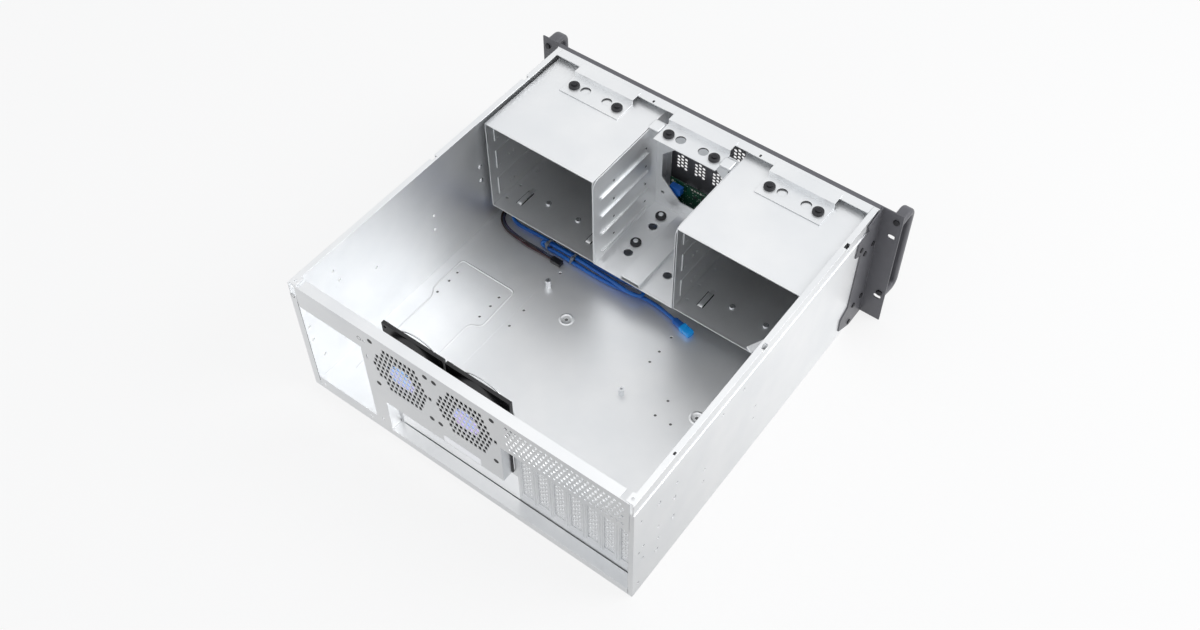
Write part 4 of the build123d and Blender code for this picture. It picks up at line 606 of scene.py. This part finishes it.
# Port board: glass-epoxy with copper tracks under a green solder mask, 2.6 mm apart, and small tinned joints,
# one to 3 mm. It stands upright behind the front panel and carries the sockets, buttons and lights.
solder_mask, tree, shader, place = new_material("green_solder_mask")
cells = add(tree, "ShaderNodeTexVoronoi", {"Vector": place, "Scale": 330.0})
joint = add(tree, "ShaderNodeMath", {0: cells.outputs["Distance"], 1: 0.22}, operation="LESS_THAN")
tracks = add(tree, "ShaderNodeTexWave", {"Vector": place, "Scale": 120.0, "Distortion": 5.0},
             bands_direction="X")
tint = add(tree, "ShaderNodeValToRGB", {"Fac": tracks.outputs["Fac"]})
tint.color_ramp.elements[0].color = linear("#07301f")
tint.color_ramp.elements[1].color = linear("#12543a")
mixed = add(tree, "ShaderNodeMix",
            {"Factor": joint.outputs[0], 6: tint.outputs["Color"], 7: linear("#c8ccc8")}, data_type="RGBA")
tree.links.new(mixed.outputs[2], shader.inputs["Base Color"])
shader.inputs["Roughness"].default_value = 0.3
dress(solder_mask, "port_board")


# Parts on the port board: small chips moulded in black epoxy and pale ceramic capacitors, soldered to its
# rear face. Each is given by its place, half its width and height, and how far it stands out. Their grit is
# 0.3 mm and 0.7 mm wide.
chip_epoxy, tree, shader, place = new_material("chip_epoxy_moulded")
grit = add(tree, "ShaderNodeTexNoise", {"Vector": place, "Scale": 3000.0})
tint = add(tree, "ShaderNodeValToRGB", {"Fac": grit.outputs["Fac"]})
tint.color_ramp.elements[0].color = linear("#161618")
tint.color_ramp.elements[1].color = linear("#242428")
tree.links.new(tint.outputs["Color"], shader.inputs["Base Color"])
shader.inputs["Roughness"].default_value = 0.45

white_ceramic, tree, shader, place = new_material("capacitor_ceramic")
grit = add(tree, "ShaderNodeTexNoise", {"Vector": place, "Scale": 1500.0})
tint = add(tree, "ShaderNodeValToRGB", {"Fac": grit.outputs["Fac"]})
tint.color_ramp.elements[0].color = linear("#c8c2b4")
tint.color_ramp.elements[1].color = linear("#efece6")
tree.links.new(tint.outputs["Color"], shader.inputs["Base Color"])
shader.inputs["Roughness"].default_value = 0.35

board_rear, edge_height = -429.0, 0.2
chips = [(-6.0, 66.0, 3.2, 2.4, 1.1), (6.0, 60.5, 2.2, 2.2, 0.9), (-30.0, 52.0, 2.6, 1.8, 1.0)]
capacitors = [(-1.5 + 4.1 * column, 71.4, 1.2, 0.8, 1.0) for column in range(4)]
capacitors += [(-14.0, 70.4 - 3.4 * row, 0.9, 1.2, 0.9) for row in range(4)] + [(38.2, 70.5, 1.3, 1.3, 1.6)]
blocks, kind_of_face = [], []
for kind, parts in enumerate((chips, capacitors)):
    for x, z, half_x, half_z, height in parts:
        block, block_faces = rounded_sections([0.02, height - edge_height, height],
                                              [half_x, half_x, half_x - edge_height],
                                              [half_z, half_z, half_z - edge_height], power=9.0, around=20)
        blocks.append((block[:, [1, 0, 2]] * [-1, 1, 1] + [x, board_rear, z], block_faces))
        kind_of_face += [kind] * len(block_faces)
points, faces = joined(blocks)
board_things = new_piece("board_parts", from_mm(points), faces, [chip_epoxy, white_ceramic])
board_things.data.polygons.foreach_set("material_index", np.array(kind_of_face, np.int32))


# Light pipes: clear polycarbonate, injection moulded, with faint ripples of 1 mm. They sit behind the two
# small holes of the bezel and bring the board's lights to the front.
lens_plastic, tree, shader, place = new_material("lens_polycarbonate_moulded")
shader.inputs["Base Color"].default_value = linear("#e6ebee")
shader.inputs["Roughness"].default_value = 0.2
shader.inputs["Transmission Weight"].default_value = 0.6
ripple = add(tree, "ShaderNodeTexNoise", {"Vector": place, "Scale": 800.0})
bump = add(tree, "ShaderNodeBump", {"Height": ripple.outputs["Fac"], "Strength": 0.05, "Distance": 0.0002})
tree.links.new(bump.outputs["Normal"], shader.inputs["Normal"])
dress(lens_plastic, "light_lenses")


# Fan guards: steel wire formed into rings, spot-welded over four diagonal wires that end in eyes at the
# screws, and nickel plated. The rings stand 3.8 mm off the frame, so their tops show above its edge.
def wire_along(line, radius=0.7, closed=False, around=8):
    """A round wire along a line across Y: each point gives a circle across the line's direction."""
    ahead = (np.roll(line, -1, 0) - np.roll(line, 1, 0)) if closed else np.gradient(line, axis=0)
    ahead = ahead / np.linalg.norm(ahead, axis=1)[:, None]
    across = np.cross(ahead, (0.0, 1.0, 0.0))
    across /= np.linalg.norm(across, axis=1)[:, None]
    over = np.cross(ahead, across)
    ring = np.linspace(0, 2 * np.pi, around, endpoint=False)
    points = line[:, None] + radius * (np.cos(ring)[None, :, None] * across[:, None]
                                       + np.sin(ring)[None, :, None] * over[:, None])
    rows = len(line)
    faces = grid_faces(rows, around, rows_close=closed)
    if not closed:
        faces += [list(range(around))[::-1], list(range((rows - 1) * around, rows * around))]
    return points.reshape(-1, 3), faces


def wire_ring(x, z, radius, y, steps):
    """A closed wire on the circle of a radius about the point x, z."""
    angle = np.linspace(0, 2 * np.pi, steps, endpoint=False)
    ring = np.stack([x + radius * np.cos(angle), np.full(steps, y), z + radius * np.sin(angle)], -1)
    return wire_along(ring, closed=True)


fan_front = -26.0
ring_radii = (11.0, 20.0, 29.0, 38.2)
ring_gap, eye_gap = 3.8, 0.7
eye_reach, eye_radius = 50.6, 2.6
arm_reach = np.array([9.0, 20.0, 32.0, 40.5, 43.0, 45.5, 48.0])
arm_gap = np.array([2.4, 2.4, 2.4, 2.4, 1.9, 1.1, 0.7])
for number, x in enumerate(fan_places, 1):
    wires = [wire_ring(x, fan_height, radius, fan_front - ring_gap, 72) for radius in ring_radii]
    for quarter in range(4):
        angle = math.radians(45 + 90 * quarter)
        wires.append(wire_along(np.stack([x + arm_reach * math.cos(angle), fan_front - arm_gap,
                                          fan_height + arm_reach * math.sin(angle)], -1)))
        wires.append(wire_ring(x + eye_reach * math.cos(angle), fan_height + eye_reach * math.sin(angle),
                               eye_radius, fan_front - eye_gap, 18))
    points, faces = joined(wires)
    guard = new_piece(f"wire_guard_{number}", from_mm(points), faces, [nickel_plate])
    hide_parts(f"fan_guard_{number}")


# Floor pressings: a low bead and a straight seam pressed into the floor's own sheet, and two round dimples,
# each about a hole.
def eased_path(corners, size):
    """An outline with each corner replaced by the parabola that leaves its two sides at that distance."""
    corners = np.asarray(corners, float)
    t = np.linspace(0, 1, 9)[:, None]
    path = [corners[:1]]
    for before, corner, after in zip(corners, corners[1:], corners[2:]):
        start = corner + (before - corner) * size / np.linalg.norm(before - corner)
        end = corner + (after - corner) * size / np.linalg.norm(after - corner)
        path.append((1 - t) ** 2 * start + 2 * t * (1 - t) * corner + t ** 2 * end)
    path.append(corners[-1:])
    return np.vstack(path)


def bead_along(path, width, height, base):
    """A low bead on a level sheet; across it the height is h * (1 + cos(2 pi u)) / 2, u from -1/2 to 1/2."""
    ahead = np.gradient(path, axis=0)
    ahead /= np.linalg.norm(ahead, axis=1)[:, None]
    across = np.stack([-ahead[:, 1], ahead[:, 0]], -1)
    u = np.linspace(-0.5, 0.5, 9)
    flat = path[:, None] + width * u[None, :, None] * across[:, None]
    level = np.broadcast_to(base + height * (1 + np.cos(2 * np.pi * u)) / 2, flat.shape[:2])
    points = np.dstack([flat, level]).reshape(-1, 3)
    return points, grid_faces(len(path), len(u), columns_close=False, flip=True)


def turned(centre, radii, levels, around=40):
    """A surface of revolution about an upright axis: each radius and level gives one circle."""
    angle = np.linspace(0, 2 * np.pi, around, endpoint=False)
    x = centre[0] + np.asarray(radii, float)[:, None] * np.cos(angle)
    y = centre[1] + np.asarray(radii, float)[:, None] * np.sin(angle)
    z = np.broadcast_to(np.asarray(levels, float)[:, None], x.shape)
    return np.stack([x, y, z], -1).reshape(-1, 3), grid_faces(len(radii), around, flip=True)


floor_top = 1.02
board_outline = [(131.5, -40.0), (131.5, -160.0), (117.8, -165.8), (119.6, -228.0), (199.6, -228.4),
                 (200.2, -176.0), (192.6, -166.0), (192.6, -40.0)]
seam = np.stack([np.full(24, 100.0), np.linspace(-250.6, -113.0, 24)], -1)
pressings = [bead_along(eased_path(board_outline, 6.0), width=2.6, height=0.5, base=floor_top),
             bead_along(seam, width=1.4, height=0.16, base=floor_top)]
bump_u = np.linspace(0, 1, 9)
for centre in ((46.5, -231.9), (-149.3, -210.0)):
    radii = np.r_[2.6, 5.0 + 4.2 * bump_u]
    levels = floor_top + np.r_[0.0, 0.55 * np.sin(np.pi * bump_u) ** 2]
    pressings.append(turned(centre, radii, levels))
points, faces = joined(pressings)
floor_pressings = new_piece("floor_pressings", from_mm(points), faces, [zinc_sheet])


# Cage tongues: strips lanced out of the cage floors' own zinc coated sheet and pushed up a little, two to a
# cage. Beside them, flat dark strips on the floor are painted shade for the slots, the dark gap under the
# cage.
tongue_middle, tongue_half_length, tongue_rise = -327.0, 12.0, 1.5
tongue_level, slot_level, slot_offset = 35.1, 35.03, 3.7
tongues, slot_shades = [], []
for x in (181.5, 79.0, -79.0, -181.5):
    along = np.linspace(-1, 1, 17)
    path = np.stack([np.full(17, x), tongue_middle + tongue_half_length * along], -1)
    strip, strip_faces = bead_along(path, width=6.0, height=0.2, base=tongue_level)
    strip[:, 2] += np.repeat(tongue_rise * (1 - along ** 6), 9)
    tongues.append((strip, strip_faces))
    # Painted shade: a flat dark strip where each slot is.
    for offset in (-slot_offset, slot_offset):
        slot_shades.append(bead_along(path + [offset, 0.0], width=1.3, height=0.02, base=slot_level))
points, faces = joined(tongues)
cage_tongues = new_piece("cage_tongues", from_mm(points), faces, [zinc_sheet])

# Painted shade: a near black surface that stands for steel in full shade, with a trace of dust in patches of
# 2.5 mm.
painted_shade, tree, shader, place = new_material("painted_shade_dark_gap")
dust = add(tree, "ShaderNodeTexNoise", {"Vector": place, "Scale": 400.0})
tint = add(tree, "ShaderNodeValToRGB", {"Fac": dust.outputs["Fac"]})
tint.color_ramp.elements[0].color = linear("#08080a")
tint.color_ramp.elements[1].color = linear("#141417")
tree.links.new(tint.outputs["Color"], shader.inputs["Base Color"])
shader.inputs["Roughness"].default_value = 0.8
points, faces = joined(slot_shades)
new_piece("tongue_slot_shade", from_mm(points), faces, [painted_shade])


# Painted shade in the rear panel's left part: a dark line on the joint between its steel sheet and the side
# wall's folded edge, and dark rings round two flush screws. They are as dark as the painted slots of the cage
# floors.
joint_line = np.stack([np.full(24, -206.0), np.linspace(12.0, 150.0, 24)], -1)
rear_shade_marks = [bead_along(joint_line, width=0.7, height=0.01, base=0.01)]
for centre in ((-211.0, 156.6), (-119.9, 157.9)):
    rear_shade_marks.append(turned(centre, [2.3, 2.5, 2.8], [0.01, 0.02, 0.01], 28))
points, faces = joined(rear_shade_marks)
new_piece("rear_joint_shade", from_mm(points[:, [0, 2, 1]] * [-1, 1, 1]), faces, [painted_shade])


# Small round holes punched in both walls of the centre bracket, above and behind its rails, drawn as flat
# dark discs: painted shade, for the room inside the bracket is in shade.
bracket_wall = 53.88
row_gap, end_row_gap = 29.3, 30.1
hole_places = [(y, 53.9 + row_gap * row) for y in (-333.0, -394.6) for row in range(4)]
hole_places += [(-309.4, 43.5 + end_row_gap * row) for row in range(4)]
wall_hole_shades = []
for wall in (1, -1):
    for y, z in hole_places:
        disc, disc_faces = turned((0.0, 0.0), [0.0, 0.9, 1.35], [0.02, 0.02, 0.0], 16)
        wall_hole_shades.append((disc[:, [2, 1, 0]] * [-wall, wall, 1] + [wall * bracket_wall, y, z], disc_faces))
points, faces = joined(wall_hole_shades)
new_piece("bracket_hole_shade", from_mm(points), faces, [painted_shade])


# Rivets on the hangers' front tabs: plated steel, two to a tab, with heads pressed flush with the sheet. A
# head falls by 0.04 mm from its middle to its edge, as the square of the radius.
hanger_places = (132.0, 0.0, -132.0)
tab_top, rivet_row, rivet_offset, rivet_radius = 177.0, -431.6, 25.3, 1.7
rivet_u = np.linspace(0, 1, 6)
rivets = []
for hanger in hanger_places:
    for offset in (-rivet_offset, rivet_offset):
        rivets.append(turned((hanger + offset, rivet_row), rivet_radius * rivet_u,
                             tab_top - 0.04 * rivet_u ** 2, 20))
points, faces = joined(rivets)
tab_rivets = new_piece("hanger_rivets", from_mm(points), faces, [nickel_plate])


# Painted shade in the hangers' entry holes: a flat dark crescent of black rubber against the far edge of each
# hole stands for the shade of its far wall. Dark patches of the same material paint the shade in the notches
# of the front flange and of the right wall's top.
def crescent(centre, radius, thickness, facing, spread, level):
    """A flat crescent inside a circle; its width is t * cos(pi a / 2 s) at the angle a from its middle."""
    a = np.linspace(-spread, spread, 33)
    u = np.linspace(0, 1, 5)
    inward = thickness * np.cos(np.pi * a / (2 * spread))[:, None] * u[None, :]
    x = centre[0] + (radius - inward) * np.cos(facing + a)[:, None]
    y = centre[1] + (radius - inward) * np.sin(facing + a)[:, None]
    z = np.broadcast_to(level - 0.5 * u[None, :], x.shape)
    return np.stack([x, y, z], -1).reshape(-1, 3), grid_faces(len(a), len(u), columns_close=False, flip=True)


far_side = math.atan2(-0.815, 0.579)
entry_row, entry_offset, hole_shade_level = -404.5, 15.0, 170.4
hole_shades = []
for hanger in hanger_places:
    for offset in (-entry_offset, entry_offset):
        hole_shades.append(crescent((hanger + offset, entry_row), radius=6.1, thickness=1.5, facing=far_side,
                             spread=1.75, level=hole_shade_level))
for notch in ((71.4, -432.0), (-71.4, -432.0), (-211.6, -67.0)):
    patch, patch_faces = rounded_sections([176.02, 176.06], [1.2, 1.2], [1.9, 1.9], power=6.0, around=16)
    hole_shades.append((patch[:, [1, 2, 0]] + [*notch, 0.0], patch_faces))
points, faces = joined(hole_shades)
entry_hole_shade_piece = new_piece("entry_hole_shade", from_mm(points), faces, [rubber_and_shade])


# Blank sticker on the fan panel: white satin paper with slightly rounded corners, stuck on and left without
# any print. Its fibres are drawn 0.5 mm wide, so that they show.
label_paper, tree, shader, place = new_material("label_paper")
shader.inputs["Base Color"].default_value = linear("#fbfcff")
# Painted light: a faint glow makes the paper whiter than the lamps alone would.
shader.inputs["Emission Color"].default_value = linear("#fbfcff")
shader.inputs["Emission Strength"].default_value = 0.15
fibres = add(tree, "ShaderNodeTexNoise", {"Vector": place, "Scale": 2200.0, "Detail": 2.0})
bump = add(tree, "ShaderNodeBump", {"Height": fibres.outputs["Fac"], "Strength": 0.1, "Distance": 0.0001})
tree.links.new(bump.outputs["Normal"], shader.inputs["Normal"])
shader.inputs["Roughness"].default_value = 0.45
sticker, sticker_faces = rounded_sections([0.0, 0.02, 0.03], [24.2, 24.2, 24.1], [5.4, 5.4, 5.3],
                                          power=14.0, around=48)
sticker_place = (-4.2, 0.01, 69.6)
sticker = sticker[:, [1, 0, 2]] * [-1, 1, 1] + sticker_place
new_piece("blank_sticker", from_mm(sticker), sticker_faces, [label_paper])


# A dark strip between the fan panel's folded side and the slot plate, shaped as black foam: painted shade,
# standing for the dark gap there.
gap_shade_mesh, gap_shade_faces = rounded_sections([63.6, 64.2, 97.4, 98.0], [0.5, 0.75, 0.75, 0.5], [0.9, 1.3, 1.3, 0.9],
                                    power=5.0, around=20)
gap_shade_place = (-58.4, -13.3, 0.0)
gap_shade_mesh = gap_shade_mesh[:, [1, 2, 0]] + gap_shade_place
gap_shade_piece = new_piece("gap_shade", from_mm(gap_shade_mesh), gap_shade_faces, [rubber_and_shade])


# Small square pads of zinc coated steel on both sides of the centre bracket's top, and two domed screws of
# plated steel on the left wall beside the cage.
stop, stop_faces = rounded_sections([168.02, 170.6, 171.2, 171.4], [7.2, 7.2, 6.8, 5.8], [7.4, 7.4, 7.0, 6.0],
                                    power=9.0, around=40)
stop = stop[:, [1, 2, 0]]
stop_places = ((-46.4, -405.6, 0.0), (49.0, -407.0, 0.0))
points, faces = joined([(stop + place, stop_faces) for place in stop_places])
bracket_stop = new_piece("bracket_stop", from_mm(points), faces, [zinc_sheet])
wall_face, screw_row, screw_heights = 214.0, -289.0, (101.0, 78.5)
dome_radius, dome_height = 3.0, 1.9
dome_angle = np.linspace(0, np.pi / 2, 8)
dome, dome_faces = turned((0.0, 0.0), dome_radius * np.sin(dome_angle), dome_height * np.cos(dome_angle), 24)
dome = dome[:, [2, 1, 0]] * [-1, 1, 1]
domes = [(dome + [wall_face, screw_row, z], dome_faces) for z in screw_heights]
points, faces = joined(domes)
wall_screws = new_piece("wall_screws", from_mm(points), faces, [nickel_plate])


# The picture is made without a tone curve.
bpy.context.scene.view_settings.view_transform = "Standard"
